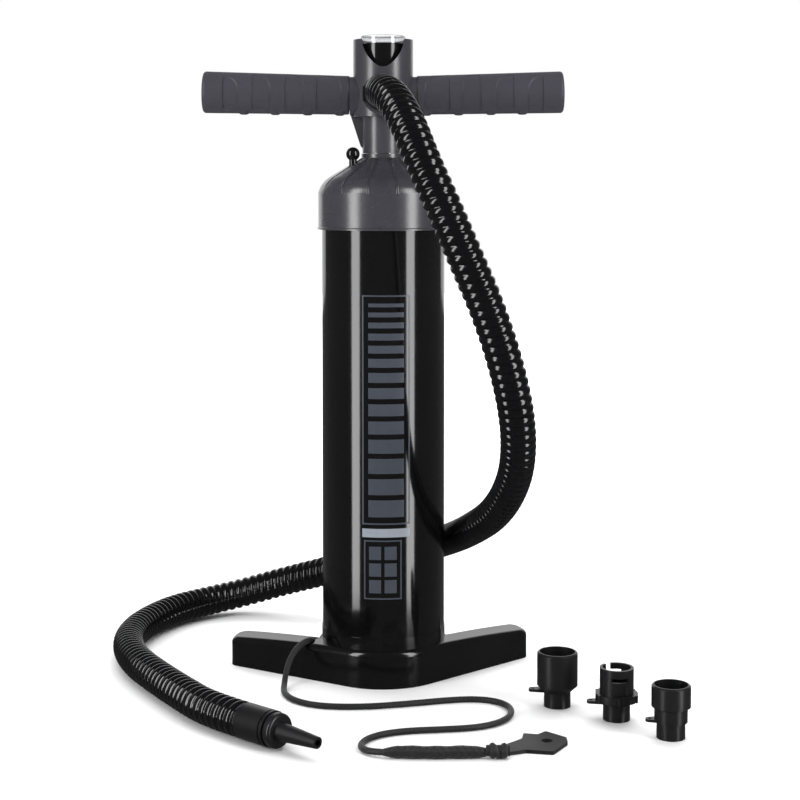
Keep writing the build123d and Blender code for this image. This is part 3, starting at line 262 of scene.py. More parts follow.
def moulded_plastic(name, colour, rough, grain_mm, grain_depth_mm, mottle=0.06, ior=1.53, coat=0.0):
    """An injection-moulded thermoplastic: fine eroded grain, slight mottling and uneven gloss."""
    material, tree, place = start_material(name)
    colour = linear(colour)
    cloud = add_node(tree, "ShaderNodeTexNoise", {"noise_dimensions": "3D"},
                     {"Vector": place, "Scale": per_mm(38), "Detail": 3.0, "Roughness": 0.55})
    tint = add_node(tree, "ShaderNodeValToRGB", None, {"Fac": cloud.outputs["Fac"]})
    set_ramp(tint, [(0.3, shade(colour, 1 - mottle)), (0.7, shade(colour, 1 + mottle))])
    wipe = add_node(tree, "ShaderNodeTexNoise", None, {"Vector": place, "Scale": per_mm(14), "Detail": 5.0})
    gloss = add_node(tree, "ShaderNodeMapRange", None,
                     {"Value": wipe.outputs["Fac"], "To Min": rough * 0.88, "To Max": rough * 1.12})
    grain = add_node(tree, "ShaderNodeTexNoise", None,
                     {"Vector": place, "Scale": per_mm(grain_mm), "Detail": 2.0, "Roughness": 0.6})
    bump = add_node(tree, "ShaderNodeBump", None,
                    {"Height": grain.outputs["Fac"], "Strength": 1.0, "Distance": grain_depth_mm * MM})
    shader = add_node(tree, "ShaderNodeBsdfPrincipled", None,
                      {"Base Color": tint.outputs["Color"], "Roughness": gloss.outputs["Result"],
                       "Normal": bump.outputs["Normal"], "IOR": ior, "Coat Weight": coat,
                       "Coat Roughness": COAT_ROUGHNESS})
    finish_material(tree, shader)
    return material


def polished_plastic(name, colour, rough=0.09, scratch=0.05):
    """Gloss ABS straight from a polished mould: deep black, with hairline scratches."""
    material, tree, place = start_material(name)
    colour = linear(colour)
    haze = add_node(tree, "ShaderNodeTexNoise", None, {"Vector": place, "Scale": per_mm(60), "Detail": 4.0})
    stretch = add_node(tree, "ShaderNodeMapping", None,
                       {"Vector": place, "Rotation": (0.3, 0.2, 0.5), "Scale": (1.0, 1.0, 0.04)})
    lines = add_node(tree, "ShaderNodeTexNoise", None,
                     {"Vector": stretch.outputs["Vector"], "Scale": per_mm(0.9), "Detail": 2.0})
    worn = add_node(tree, "ShaderNodeMapRange", None,
                    {"Value": lines.outputs["Fac"], "From Min": 0.62, "From Max": 0.75,
                     "To Min": 0.0, "To Max": scratch})
    base = add_node(tree, "ShaderNodeMapRange", None,
                    {"Value": haze.outputs["Fac"], "To Min": rough * 0.8, "To Max": rough * 1.25})
    total = add_node(tree, "ShaderNodeMath", {"operation": "ADD"},
                     {0: worn.outputs["Result"], 1: base.outputs["Result"]})
    ripple = add_node(tree, "ShaderNodeTexNoise", None, {"Vector": place, "Scale": per_mm(25), "Detail": 1.0})
    bump = add_node(tree, "ShaderNodeBump", None,
                    {"Height": ripple.outputs["Fac"], "Strength": 0.6, "Distance": 0.03 * MM})
    tint = add_node(tree, "ShaderNodeValToRGB", None, {"Fac": haze.outputs["Fac"]})
    set_ramp(tint, [(0.3, shade(colour, 0.8)), (0.7, shade(colour, 1.2))])
    shader = add_node(tree, "ShaderNodeBsdfPrincipled", None,
                      {"Base Color": tint.outputs["Color"], "Roughness": total.outputs["Value"],
                       "Normal": bump.outputs["Normal"], "IOR": 1.54})
    finish_material(tree, shader)
    return material


def soft_rubber(name, colour, rough=0.6, grain_mm=0.5):
    """Moulded elastomer: no gloss, a fine matt skin and a little sheen from dust and handling."""
    material, tree, place = start_material(name)
    colour = linear(colour)
    cloud = add_node(tree, "ShaderNodeTexNoise", None, {"Vector": place, "Scale": per_mm(20), "Detail": 4.0})
    tint = add_node(tree, "ShaderNodeValToRGB", None, {"Fac": cloud.outputs["Fac"]})
    set_ramp(tint, [(0.3, shade(colour, 0.93)), (0.7, shade(colour, 1.07))])
    skin = add_node(tree, "ShaderNodeTexVoronoi", None, {"Vector": place, "Scale": per_mm(grain_mm)})
    bump = add_node(tree, "ShaderNodeBump", None,
                    {"Height": skin.outputs["Distance"], "Strength": 0.5, "Distance": 0.03 * MM})
    shader = add_node(tree, "ShaderNodeBsdfPrincipled", None,
                      {"Base Color": tint.outputs["Color"], "Roughness": rough,
                       "Normal": bump.outputs["Normal"], "IOR": 1.5,
                       "Sheen Weight": 0.08, "Sheen Roughness": 0.5})
    finish_material(tree, shader)
    return material


def turned_metal(name, colour, rough):
    """Machined metal: fine rings or lines from the tool, which spread the reflections one way."""
    material, tree, place = start_material(name)
    colour = linear(colour)
    stretch = add_node(tree, "ShaderNodeMapping", None, {"Vector": place, "Scale": (1.0, 1.0, 12.0)})
    lines = add_node(tree, "ShaderNodeTexNoise", None,
                     {"Vector": stretch.outputs["Vector"], "Scale": per_mm(2.5), "Detail": 3.0})
    gloss = add_node(tree, "ShaderNodeMapRange", None,
                     {"Value": lines.outputs["Fac"], "To Min": rough * 0.7, "To Max": rough * 1.3})
    bump = add_node(tree, "ShaderNodeBump", None,
                    {"Height": lines.outputs["Fac"], "Strength": 0.4, "Distance": 0.02 * MM})
    tint = add_node(tree, "ShaderNodeValToRGB", None, {"Fac": lines.outputs["Fac"]})
    set_ramp(tint, [(0.3, shade(colour, 0.9)), (0.7, colour)])
    shader = add_node(tree, "ShaderNodeBsdfPrincipled", None,
                      {"Base Color": tint.outputs["Color"], "Metallic": 1.0,
                       "Roughness": gloss.outputs["Result"], "Normal": bump.outputs["Normal"]})
    finish_material(tree, shader)
    return material


def clear_polycarbonate(name):
    """Moulded clear polycarbonate: bright edges, a hint of grey, and small wipe marks."""
    material, tree, place = start_material(name)
    smear = add_node(tree, "ShaderNodeTexNoise", None, {"Vector": place, "Scale": per_mm(6), "Detail": 4.0})
    gloss = add_node(tree, "ShaderNodeMapRange", None,
                     {"Value": smear.outputs["Fac"], "To Min": 0.02, "To Max": 0.10})
    shader = add_node(tree, "ShaderNodeBsdfPrincipled", None,
                      {"Base Color": linear("F6F7F8"), "Roughness": gloss.outputs["Result"], "IOR": 1.585,
                       "Transmission Weight": 0.92})
    finish_material(tree, shader)
    return material


def printed_film(name, colour, rough=0.3):
    """Printed vinyl film: flat ink under a thin clear layer, with a faint dot screen."""
    material, tree, place = start_material(name)
    colour = linear(colour)
    dots = add_node(tree, "ShaderNodeTexVoronoi", None,
                    {"Vector": place, "Scale": per_mm(0.7), "Randomness": 0.25})
    tint = add_node(tree, "ShaderNodeValToRGB", None, {"Fac": dots.outputs["Distance"]})
    set_ramp(tint, [(0.1, shade(colour, 0.94)), (0.5, shade(colour, 1.04))])
    wipe = add_node(tree, "ShaderNodeTexNoise", None, {"Vector": place, "Scale": per_mm(18), "Detail": 4.0})
    gloss = add_node(tree, "ShaderNodeMapRange", None,
                     {"Value": wipe.outputs["Fac"], "To Min": rough * 0.85, "To Max": rough * 1.15})
    shader = add_node(tree, "ShaderNodeBsdfPrincipled", None,
                      {"Base Color": tint.outputs["Color"], "Roughness": gloss.outputs["Result"], "IOR": 1.5})
    finish_material(tree, shader)
    return material


def braided_polyester(name, colour):
    """Braided polyester cord: each strand is a bundle of filaments with a soft shine along it."""
    material, tree, place = start_material(name)
    colour = linear(colour)
    fibres = add_node(tree, "ShaderNodeTexNoise", None,
                      {"Vector": place, "Scale": per_mm(0.45), "Detail": 3.0})
    tint = add_node(tree, "ShaderNodeValToRGB", None, {"Fac": fibres.outputs["Fac"]})
    set_ramp(tint, [(0.35, shade(colour, 0.6)), (0.7, shade(colour, 1.7))])
    bump = add_node(tree, "ShaderNodeBump", None,
                    {"Height": fibres.outputs["Fac"], "Strength": 0.7, "Distance": 0.06 * MM})
    shader = add_node(tree, "ShaderNodeBsdfPrincipled", None,
                      {"Base Color": tint.outputs["Color"], "Roughness": 0.55,
                       "Normal": bump.outputs["Normal"], "Sheen Weight": 0.3, "Sheen Roughness": 0.4})
    finish_material(tree, shader)
    return material


def studio_floor(name, colour):
    """Smooth painted studio floor, seamless paper white with a faint cloudiness."""
    material, tree, place = start_material(name)
    colour = linear(colour)
    cloud = add_node(tree, "ShaderNodeTexNoise", None, {"Vector": place, "Scale": per_mm(400), "Detail": 2.0})
    tint = add_node(tree, "ShaderNodeValToRGB", None, {"Fac": cloud.outputs["Fac"]})
    set_ramp(tint, [(0.3, shade(colour, 0.985)), (0.7, colour)])
    shader = add_node(tree, "ShaderNodeBsdfPrincipled", None,
                      {"Base Color": tint.outputs["Color"], "Roughness": 0.9, "Specular IOR Level": 0.1})
    finish_material(tree, shader)
    return material


MATERIALS = {}


def material_for(key):
    """The object's materials by the name of the piece or finish, each made once."""
    if key not in MATERIALS:
        colours = bpy.context.scene.pump_colours
        makers = {
            # Acrylonitrile butadiene styrene, moulded in a lightly eroded tool: satin, with broad highlights.
            "satin_abs_handle": (moulded_plastic, colours.handle, 0.30, 0.5, 0.010, 0.06, 1.53, 0.35),
            # The same with a finer skin: the highlights down the cap are brighter and narrower.
            "satin_abs_cap": (moulded_plastic, colours.cap, 0.27, 0.5, 0.008, 0.06, 1.53, 0.6),
            # Thermoplastic elastomer over the bar: duller than the handle.
            "elastomer_grip": (moulded_plastic, colours.grip, 0.48, 0.6, 0.02, 0.06, 1.48),
            # The same resin as the handle from a polished tool: mirror-like and black.
            "gloss_abs_barrel": (polished_plastic, colours.gloss, 0.10),
            # Thicker and slightly sunk as it cooled: the reflections in the foot are a little softer.
            "gloss_abs_foot": (polished_plastic, colours.gloss, 0.13),
            "gloss_abs_gauge": (polished_plastic, "0C0C0D", 0.12),
            # Moulded nylon, dyed black: a low sheen that shows the edges of the fittings.
            "nylon_black": (moulded_plastic, "101012", 0.36, 0.5, 0.012),
            "nylon_adapter": (moulded_plastic, colours.adapter, 0.34, 0.6, 0.012),
            # Undyed nylon bushing: a waxy off-white.
            "nylon_natural": (moulded_plastic, "C9C6BC", 0.45, 0.7, 0.02),
            # Polypropylene inside the pump: a flat mid grey.
            "polypropylene_grey": (moulded_plastic, "6B6C70", 0.45, 0.7, 0.02),
            # Blow-moulded PVC hose: slick, the light breaks up on its ribs.
            "gloss_pvc_hose": (polished_plastic, colours.hose, 0.14, 0.03),
            # Nitrile O-rings and silicone flaps: black and charcoal without shine.
            "nitrile_rubber": (soft_rubber, "141414"),
            "silicone_flap": (soft_rubber, "2A2A2C", 0.5),
            # Moulded rubber tab on the leash: matt, with a coarse skin.
            "rubber_tab": (soft_rubber, "131313", 0.5, 0.9),
            # Drawn and anodised aluminium: a pale satin bar with fine lines.
            "anodised_rod": (turned_metal, "C9CBCF", 0.3),
            # Zinc-plated steel: dull and slightly warm.
            "zinc_screw": (turned_metal, "A9A9A6", 0.32),
            # Turned brass inside the gauge: a small yellow glint.
            "turned_brass": (turned_metal, "C7A45A", 0.25),
            # Clear polycarbonate lens: only its rim and its highlights are seen.
            "clear_polycarbonate": (clear_polycarbonate,),
            # Inks on the dial and on the barrel's film: flat colour under a thin gloss.
            "dial_white": (printed_film, "F1F1EE", 0.4),
            "dial_ink": (printed_film, "151515", 0.4),
            "dial_red": (printed_film, "B3231C", 0.3),
            "label_silver": (printed_film, "8D939C", 0.3),
            "label_slate": (printed_film, "3F444D", 0.3),
            # Braided polyester: dark, with a soft shine that breaks up over the strands.
            "braided_leash": (braided_polyester, colours.leash),
            # Painted floor: paper white, so the soft shadows show.
            "studio_floor": (studio_floor, colours.floor),
        }
        maker, *settings = makers[key]
        MATERIALS[key] = maker(key, *settings)
    return MATERIALS[key]


# ---- mesh helpers --------------------------------------------------------------------------------
def new_piece(name, mesh, material, body=None, smooth=True):
    """Makes an object of a mesh, gives it its material, and lets it ride on a body."""
    piece = bpy.data.objects.new(name, mesh)
    bpy.context.scene.collection.objects.link(piece)
    mesh.materials.append(material_for(material))
    if smooth:
        mesh.polygons.foreach_set("use_smooth", [True] * len(mesh.polygons))
        mesh.set_sharp_from_angle(angle=SHARP_EDGE)
    if body:
        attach(piece, body)
    return piece


def mesh_from(name, verts, faces):
    """A mesh from points and faces, with its normals turned outwards."""
    mesh = bpy.data.meshes.new(name)
    mesh.from_pydata([tuple(v) for v in verts], [], faces)
    build = bmesh.new()
    build.from_mesh(mesh)
    bmesh.ops.recalc_face_normals(build, faces=build.faces)
    build.to_mesh(mesh)
    build.free()
    return mesh


def grid_tube(rings):
    """Points and faces of a closed tube through rings of equal length, with a flat end on each side."""
    count = len(rings[0])
    verts = [point for ring in rings for point in ring]
    faces = []
    for i in range(len(rings) - 1):
        for j in range(count):
            k = (j + 1) % count
            faces.append((i * count + j, i * count + k, (i + 1) * count + k, (i + 1) * count + j))
    faces.append(tuple(range(count - 1, -1, -1)))
    last = (len(rings) - 1) * count
    faces.append(tuple(range(last, last + count)))
    return verts, faces


# ---- cords ---------------------------------------------------------------------------------------
def route_curve(name, route):
    """A curve whose control points are a cord's route, in metres."""
    curve = bpy.data.curves.new(name, "CURVE")
    curve.dimensions = "3D"
    spline = curve.splines.new("NURBS")
    spline.points.add(len(route) - 1)
    for point, place in zip(spline.points, route):
        point.co = (place[0] * MM, place[1] * MM, place[2] * MM, 1.0)
    spline.order_u = 3
    spline.use_endpoint_u = True
    spline.resolution_u = 24
    return curve


def read_path(name, route):
    """The points that a cord follows, read from its route's own spline."""
    curve = route_curve(name, route)
    holder = bpy.data.objects.new(name, curve)
    bpy.context.scene.collection.objects.link(holder)
    bpy.context.view_layer.update()
    mesh = bpy.data.meshes.new_from_object(holder)
    points = [vertex.co.copy() for vertex in mesh.vertices]
    bpy.data.objects.remove(holder)
    bpy.data.meshes.remove(mesh)
    return points


def even_points(points, step):
    """Points at even steps along a path, with its length."""
    lengths = [0.0]
    for a, b in zip(points, points[1:]):
        lengths.append(lengths[-1] + (b - a).length)
    total = lengths[-1]
    count = max(2, round(total / step))
    result = []
    k = 0
    for i in range(count + 1):
        want = total * i / count
        while k < len(points) - 2 and lengths[k + 1] < want:
            k += 1
        span = lengths[k + 1] - lengths[k] or 1.0
        result.append(points[k].lerp(points[k + 1], (want - lengths[k]) / span))
    return result, total


def path_frames(points):
    """A direction and two steady side directions at every point of a path."""
    frames = []
    side = None
    for i, point in enumerate(points):
        ahead = points[min(i + 1, len(points) - 1)] - points[max(i - 1, 0)]
        ahead.normalize()
        if side is None:
            side = ahead.cross(UP)
            if side.length < 0.1:
                side = ahead.cross(Vector((1, 0, 0)))
        side = (side - ahead * side.dot(ahead)).normalized()
        frames.append((point, side, ahead.cross(side)))
    return frames


def swept(name, points, radius_at, segments):
    """A tube along points, its radius a function of the length so far and the angle round it."""
    rings = []
    along = 0.0
    before = points[0]
    for point, side, other in path_frames(points):
        along += (point - before).length
        before = point
        ring = []
        for j in range(segments):
            angle = 2 * pi * j / segments
            ring.append(point + (side * cos(angle) + other * sin(angle)) * radius_at(along, angle))
        rings.append(ring)
    return mesh_from(name, *grid_tube(rings))


def braid_radius(radius, pitch, strands=8):
    """A cord's radius where two sets of strands wind round it opposite ways and cross in turn."""

    def radius_at(along, angle):
        turn = along / pitch * 2 * pi
        one = strands / 2 * (angle + turn)
        two = strands / 2 * (angle - turn)
        over = 0.5 + 0.5 * sin(one) * sin(two)
        ridge = max(abs(cos(one / 2)), abs(cos(two / 2)))
        return radius * (0.80 + 0.19 * ridge + 0.08 * over)

    return radius_at


# ---- operators: one for each piece or group of like pieces ---------------------------------------
class PUMP_OT_camera(bpy.types.Operator):
    """Sets the camera in front of the pump, a little below the handle"""

    bl_idname = "pump.camera"
    bl_label = "Camera"

    def execute(self, context):
        data = bpy.data.cameras.new("pump_camera")
        tilt_down = 3.41
        data.sensor_width = 36.0
        data.lens = 76.2
        data.shift_y = -0.15
        data.clip_end = 50.0
        camera = bpy.data.objects.new("pump_camera", data)
        camera.location = (0.01475, -1.49239, 0.43886)
        camera.rotation_euler = (radians(90 - tilt_down), 0, 0)
        context.scene.collection.objects.link(camera)
        context.scene.camera = camera
        return {"FINISHED"}


class PUMP_OT_hose(bpy.types.Operator):
    """Makes the ribbed hose along its route, bending from the handle to the floor"""

    bl_idname = "pump.hose"
    bl_label = "Ribbed hose"

    def execute(self, context):
        sizes = context.scene.pump_sizes
        path = read_path("hose_path", HOSE_ROUTE)
        ring_step = sizes.rib_pitch / 10  # ten rings to a rib keep it round
        around = 40
        points, length = even_points(path, ring_step)
        pitch = sizes.rib_pitch
        radius = sizes.hose_radius
        depth = sizes.rib_depth
        smooth_start = 12 * MM

        def radius_at(along, angle):
            wave = abs(sin(pi * (along / pitch + angle / (2 * pi))))
            ribbed = min(1.0, max(0.0, (along - smooth_start) / pitch))
            return radius - depth * ribbed * (1 - wave**0.8)

        mesh = swept("ribbed_hose", points, radius_at, around)
        hose = new_piece("ribbed_hose", mesh, "gloss_pvc_hose")
        mesh.set_sharp_from_angle(angle=RIBBED_EDGE)
        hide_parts("hose_tube")
        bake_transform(hose)
        return {"FINISHED"}


class PUMP_OT_leash(bpy.types.Operator):
    """Makes the braided leash with its splice and its knot"""

    bl_idname = "pump.leash"
    bl_label = "Braided leash"

    def execute(self, context):
        sizes = context.scene.pump_sizes
        radius = sizes.leash_radius
        path = read_path("leash_path", LEASH_ROUTE)
        points, length = even_points(path, 0.45 * MM)
        mesh = swept("leash_braid", points, braid_radius(radius, sizes.braid_pitch), 32)
        leash = new_piece("leash_braid", mesh, "braided_leash", "base")
        mesh.set_sharp_from_angle(angle=RIBBED_EDGE)
        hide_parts("leash_cord")
        splice = self.make_splice(sizes)
        knot = self.make_knot(sizes)
        return {"FINISHED"}

    def make_splice(self, sizes):
        """The doubled stretch, where the cord runs back inside itself: thicker, with a coarser braid."""
        low, high = node_box("leash_splice")
        middle = (low + high) / 2
        full = (high.z - low.z) / 2
        start = Vector((low.x - full * 0.6, middle.y, middle.z))
        end = Vector((high.x + full * 0.5, middle.y, middle.z))
        points, length = even_points([start, end], 0.6 * MM)
        for i, point in enumerate(points):
            t = i / (len(points) - 1)
            point.y += 0.5 * MM * sin(3.1 * pi * t)
        braid = braid_radius(full, sizes.braid_pitch * 1.7)

        def radius_at(along, angle):
            near_end = min(along, length - along)
            taper = min(1.0, 0.55 + 0.45 * near_end / (2.2 * full))
            return braid(along, angle) * taper * (1 + 0.04 * sin(along / (9 * MM) * pi))

        mesh = swept("leash_splice_braid", points, radius_at, 40)
        splice = new_piece("leash_splice_braid", mesh, "braided_leash", "base")
        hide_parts("leash_splice")
        return splice

    def make_knot(self, sizes):
        """An overhand knot pulled tight: three turns of the cord wrapped over each other."""
        low, high = node_box("leash_knot")
        middle = (low + high) / 2
        reach = (high.x - low.x) / 2
        radius = (high.z - low.z) / 2
        strand = sizes.leash_radius * 0.95
        turns = 3
        steps = 180
        sway = 2.2 * MM  # how far each turn leans along the cord
        points = []
        for i in range(steps + 1):
            t = i / steps
            angle = 2 * pi * turns * t + 0.6
            lift = radius - strand
            squeeze = 1 - 0.18 * cos(2 * pi * t * turns * 0.5 + 0.4)
            points.append(
                middle
                + Vector(
                    (
                        (2 * t - 1) * (reach - strand) + sway * sin(angle * 0.5 + 1.0),
                        lift * squeeze * cos(angle),
                        lift * sin(angle) * 0.98,
                    )
                )
            )
        points, _ = even_points(points, 0.5 * MM)
        mesh = swept("leash_overhand_knot", points, braid_radius(strand, sizes.braid_pitch), 24)
        core_ends = [Vector((x, middle.y, middle.z)) for x in (low.x, high.x)]
        core_points, _ = even_points(core_ends, MM)
        core = swept("knot_core", core_points, lambda along, angle: radius * 0.72, 24)
        build = bmesh.new()
        build.from_mesh(mesh)
        build.from_mesh(core)
        build.to_mesh(mesh)
        build.free()
        bpy.data.meshes.remove(core)
        knot = new_piece("leash_overhand_knot", mesh, "braided_leash", "base")
        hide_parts("leash_knot")
        return knot


class PUMP_OT_grips(bpy.types.Operator):
    """Makes the two soft grips with their sunk finger panels and the ridges underneath"""

    bl_idname = "pump.grips"
    bl_label = "Grips"

    # Each panel's inner and outer edge from the pump's axis, and how high its arch goes, in degrees.
    panels_mm = ((36.0, 58.2, 84.0), (68.7, 85.4, 80.0), (98.2, 114.1, 66.0), (126.1, 139.6, 50.0))
    ridges_mm = (37.8, 65.9, 94.3, 121.8)
    ridge_half_width = 4.2 * MM
    ridge_height = 1.1 * MM
    ridge_top = radians(-55)  # the ridges stay below this height round the grip
    panel_bottom = radians(-62)
    panel_step = 0.35 * MM  # width of the panels' outer edge
    thickening = 1.3 * MM  # the grip's end is this much thicker than its root
    end_rounding = 3.0 * MM
    start_chamfer = 1.0 * MM

    def execute(self, context):
        for side, node in ((-1, "left_grip"), (1, "right_grip")):
            self.make_grip(context.scene.pump_sizes, side, node)
        return {"FINISHED"}

    def make_grip(self, sizes, side, node):
        """One grip as a sleeve round the bar's tilted axis."""
        low, high = node_box(node)
        start = min(abs(low.x), abs(high.x))
        end = max(abs(low.x), abs(high.x))
        bar = bar_height()
        end_radius = (high.y - low.y) / 2
        root_radius = end_radius - self.thickening
        rise = radians(1.25)  # the bar's two sides climb away from the middle
        axis = Vector((side * cos(rise), 0, sin(rise)))
        upward = Vector((-side * sin(rise), 0, cos(rise)))
        segments = 144
        steps = 360
        rounding = self.end_rounding

        def radius_at(u, angle):
            share = (u - start) / (end - start)
            radius = root_radius + (end_radius - root_radius) * share
            height = atan2(cos(angle), abs(sin(angle)))
            sunk = 0.0
            for near_mm, far_mm, arch in self.panels_mm:
                near, far = near_mm * MM, far_mm * MM
                if u < near or u > far:
                    continue
                part = (u - near) / (far - near)
                top = radians(arch) * sqrt(max(0.0, 1 - (1 - part) ** 2.6))
                edge = min(1.0, (far - u) / self.panel_step, max(0.0, (top - height)) / radians(3.0))
                bottom = min(1.0, max(0.0, (height - self.panel_bottom) / radians(8)))
                sunk = max(sunk, sizes.panel_depth * max(0.0, edge) * bottom)
            ridge = 0.0
            if height < self.ridge_top:
                for place_mm in self.ridges_mm:
                    near = abs(u - place_mm * MM) / self.ridge_half_width
                    if near < 1:
                        under = min(1.0, (self.ridge_top - height) / radians(14))
                        ridge = max(ridge, self.ridge_height * (1 - near**4) * under)
            near_end = end - u
            if near_end < rounding:
                radius -= rounding - sqrt(max(0.0, rounding**2 - (rounding - near_end) ** 2))
            near_start = u - start
            if near_start < self.start_chamfer:
                radius -= 0.6 * (self.start_chamfer - near_start)
            return radius - sunk + ridge

        rings = []
        for i in range(steps + 1):
            u = start + (end - start) * i / steps
            rings.append((u, [radius_at(u, 2 * pi * j / segments) for j in range(segments)]))
        # The end closes in three shrinking rings that bulge out by these millimetres.
        for shrink, bulge in ((0.8, 0.25), (0.5, 0.5), (0.2, 0.65)):
            tip = rings[steps][1]
            rings.append((end + bulge * MM, [r * shrink for r in tip]))
        points = []
        for u, radii in rings:
            ring = []
            for j, r in enumerate(radii):
                angle = 2 * pi * j / segments
                offset = upward * cos(angle) * r + Vector((0, -1, 0)) * sin(angle) * r
                ring.append(Vector((0, 0, bar)) + axis * u + offset)
            points.append(ring)
        mesh = mesh_from(f"{node}_sleeve", *grid_tube(points))
        grip = new_piece(f"{node}_sleeve", mesh, "elastomer_grip", "handle")
        mesh.set_sharp_from_angle(angle=radians(50))
        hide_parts(node)


class PUMP_OT_gauge(bpy.types.Operator):
    """Gives the gauge's dial its marks and its numbers"""

    bl_idname = "pump.gauge"
    bl_label = "Gauge"

    def execute(self, context):
        low, high = node_box("gauge_dial")
        face = high.z
        radius = (high.x - low.x) / 2
        self.make_scale(face, radius)
        self.make_numbers(face, radius)
        return {"FINISHED"}

    def make_scale(self, face, radius):
        """Marks round the dial, every tenth of them long."""
        build = bmesh.new()
        marks = 50
        thickness = 0.08 * MM
        for i in range(marks + 1):
            angle = radians(SCALE_START - SCALE_SWEEP * i / marks)
            long_mark = i % 10 == 0
            middle_mark = i % 5 == 0
            outer = radius * 0.93
            inner = radius * (0.78 if long_mark else 0.83 if middle_mark else 0.87)
            half = (0.30 if long_mark else 0.20) * MM
            out = Vector((cos(angle), sin(angle), 0))
            across = Vector((-sin(angle), cos(angle), 0)) * half
            bottom = Vector((0, 0, face))
            top = Vector((0, 0, face + thickness))
            corners = [out * inner - across, out * outer - across, out * outer + across, out * inner + across]
            lower = [build.verts.new(bottom + c) for c in corners]
            upper = [build.verts.new(top + c) for c in corners]
            build.faces.new(lower[::-1])
            build.faces.new(upper)
            for k in range(4):
                n = (k + 1) % 4
                build.faces.new((lower[k], lower[n], upper[n], upper[k]))
        mesh = bpy.data.meshes.new("dial_marks")
        build.to_mesh(mesh)
        build.free()
        new_piece("dial_marks", mesh, "dial_ink", "handle", smooth=False)

    def make_numbers(self, face, radius):
        """The numbers of a plain pressure scale."""
        intervals = 5
        for i in range(intervals + 1):
            angle = radians(SCALE_START - SCALE_SWEEP / intervals * i)
            text = bpy.data.curves.new(f"dial_number_{i}", "FONT")
            text.body = str(4 * i)
            text.size = 3.4 * MM
            text.align_x = "CENTER"
            text.align_y = "CENTER"
            text.extrude = 0.04 * MM
            holder = bpy.data.objects.new(f"dial_number_{i}", text)
            bpy.context.scene.collection.objects.link(holder)
            bpy.context.view_layer.update()
            mesh = bpy.data.meshes.new_from_object(holder)
            place = Vector((cos(angle), sin(angle), 0)) * radius * 0.62
            mesh.transform(Matrix.Translation((place.x, place.y, face + 0.05 * MM)))
            bpy.data.objects.remove(holder)
            new_piece(f"dial_number_{i}", mesh, "dial_ink", "handle", smooth=False)


class PUMP_OT_label(bpy.types.Operator):
    """Wraps a printed film with a plain abstract pattern round the front of the barrel"""

    bl_idname = "pump.label"
    bl_label = "Barrel label"

    def execute(self, context):
        lift = context.scene.pump_sizes.label_lift
        self.wrap("label_lower_frame", self.outline_mm(-16.5, 16.5, 77.5, 129.0), lift, "label_slate")
        self.wrap("label_lower_grid", self.grid_mm(-12.0, 12.0, 83.0, 123.5), lift, "label_slate")
        self.wrap("label_strip", ((-18.0, 24.0, 131.5, 139.0),), lift, "label_silver")
        self.wrap("label_tall_frame", self.outline_mm(-18.0, 24.0, 142.5, 340.0), lift, "label_slate")
        self.wrap("label_tall_bars", self.bars_mm(-12.5, 18.5, 149.0, 333.0), lift, "label_slate")
        return {"FINISHED"}

    def outline_mm(self, left, right, bottom, top, line=1.3):
        """A thin rectangular line."""
        return (
            (left, right, bottom, bottom + line),
            (left, right, top - line, top),
            (left, left + line, bottom + line, top - line),
            (right - line, right, bottom + line, top - line),
        )

    def grid_mm(self, left, right, bottom, top, gap=3.0):
        """Two columns and three rows of plain blocks."""
        width = (right - left - gap) / 2
        height = (top - bottom - 2 * gap) / 3
        return tuple(
            (left + c * (width + gap), left + c * (width + gap) + width,
             bottom + r * (height + gap), bottom + r * (height + gap) + height)
            for c in range(2)
            for r in range(3)
        )

    def bars_mm(self, left, right, bottom, top, gap=4.5):
        """Bars across the label that grow from thin to thick towards the bottom."""
        count = 14
        weights = [1 + 0.28 * (count - 1 - i) for i in range(count)]
        unit = (top - bottom - gap * (count - 1)) / sum(weights)
        bars = []
        height = bottom
        for weight in weights:
            bars.append((left, right, height, height + weight * unit))
            height += weight * unit + gap
        return tuple(bars)

    def wrap(self, name, patches_mm, lift, material):
        """Thin rectangles (left, right, bottom, top) bent round the barrel's front."""
        inner = barrel_radius() + 0.01 * MM
        outer = inner + lift
        build = bmesh.new()
        for left, right, bottom, top in patches_mm:
            columns = max(2, int(right - left))  # one a millimetre
            grid = {}
            for c in range(columns + 1):
                across = (left + (right - left) * c / columns) * MM
                angle = across / inner
                for r, height in enumerate((bottom, top)):
                    for s, radius in enumerate((inner, outer)):
                        place = (radius * sin(angle), -radius * cos(angle), height * MM)
                        grid[c, r, s] = build.verts.new(place)
            for c in range(columns):
                d = c + 1
                build.faces.new((grid[c, 0, 1], grid[d, 0, 1], grid[d, 1, 1], grid[c, 1, 1]))
                build.faces.new((grid[c, 1, 0], grid[d, 1, 0], grid[d, 0, 0], grid[c, 0, 0]))
                build.faces.new((grid[c, 0, 0], grid[d, 0, 0], grid[d, 0, 1], grid[c, 0, 1]))
                build.faces.new((grid[c, 1, 1], grid[d, 1, 1], grid[d, 1, 0], grid[c, 1, 0]))
            for c, flip in ((0, False), (columns, True)):
                side = [grid[c, 0, 0], grid[c, 0, 1], grid[c, 1, 1], grid[c, 1, 0]]
                build.faces.new(side[::-1] if flip else side)
        mesh = bpy.data.meshes.new(name)
        build.to_mesh(mesh)
        build.free()
        new_piece(name, mesh, material, "base")


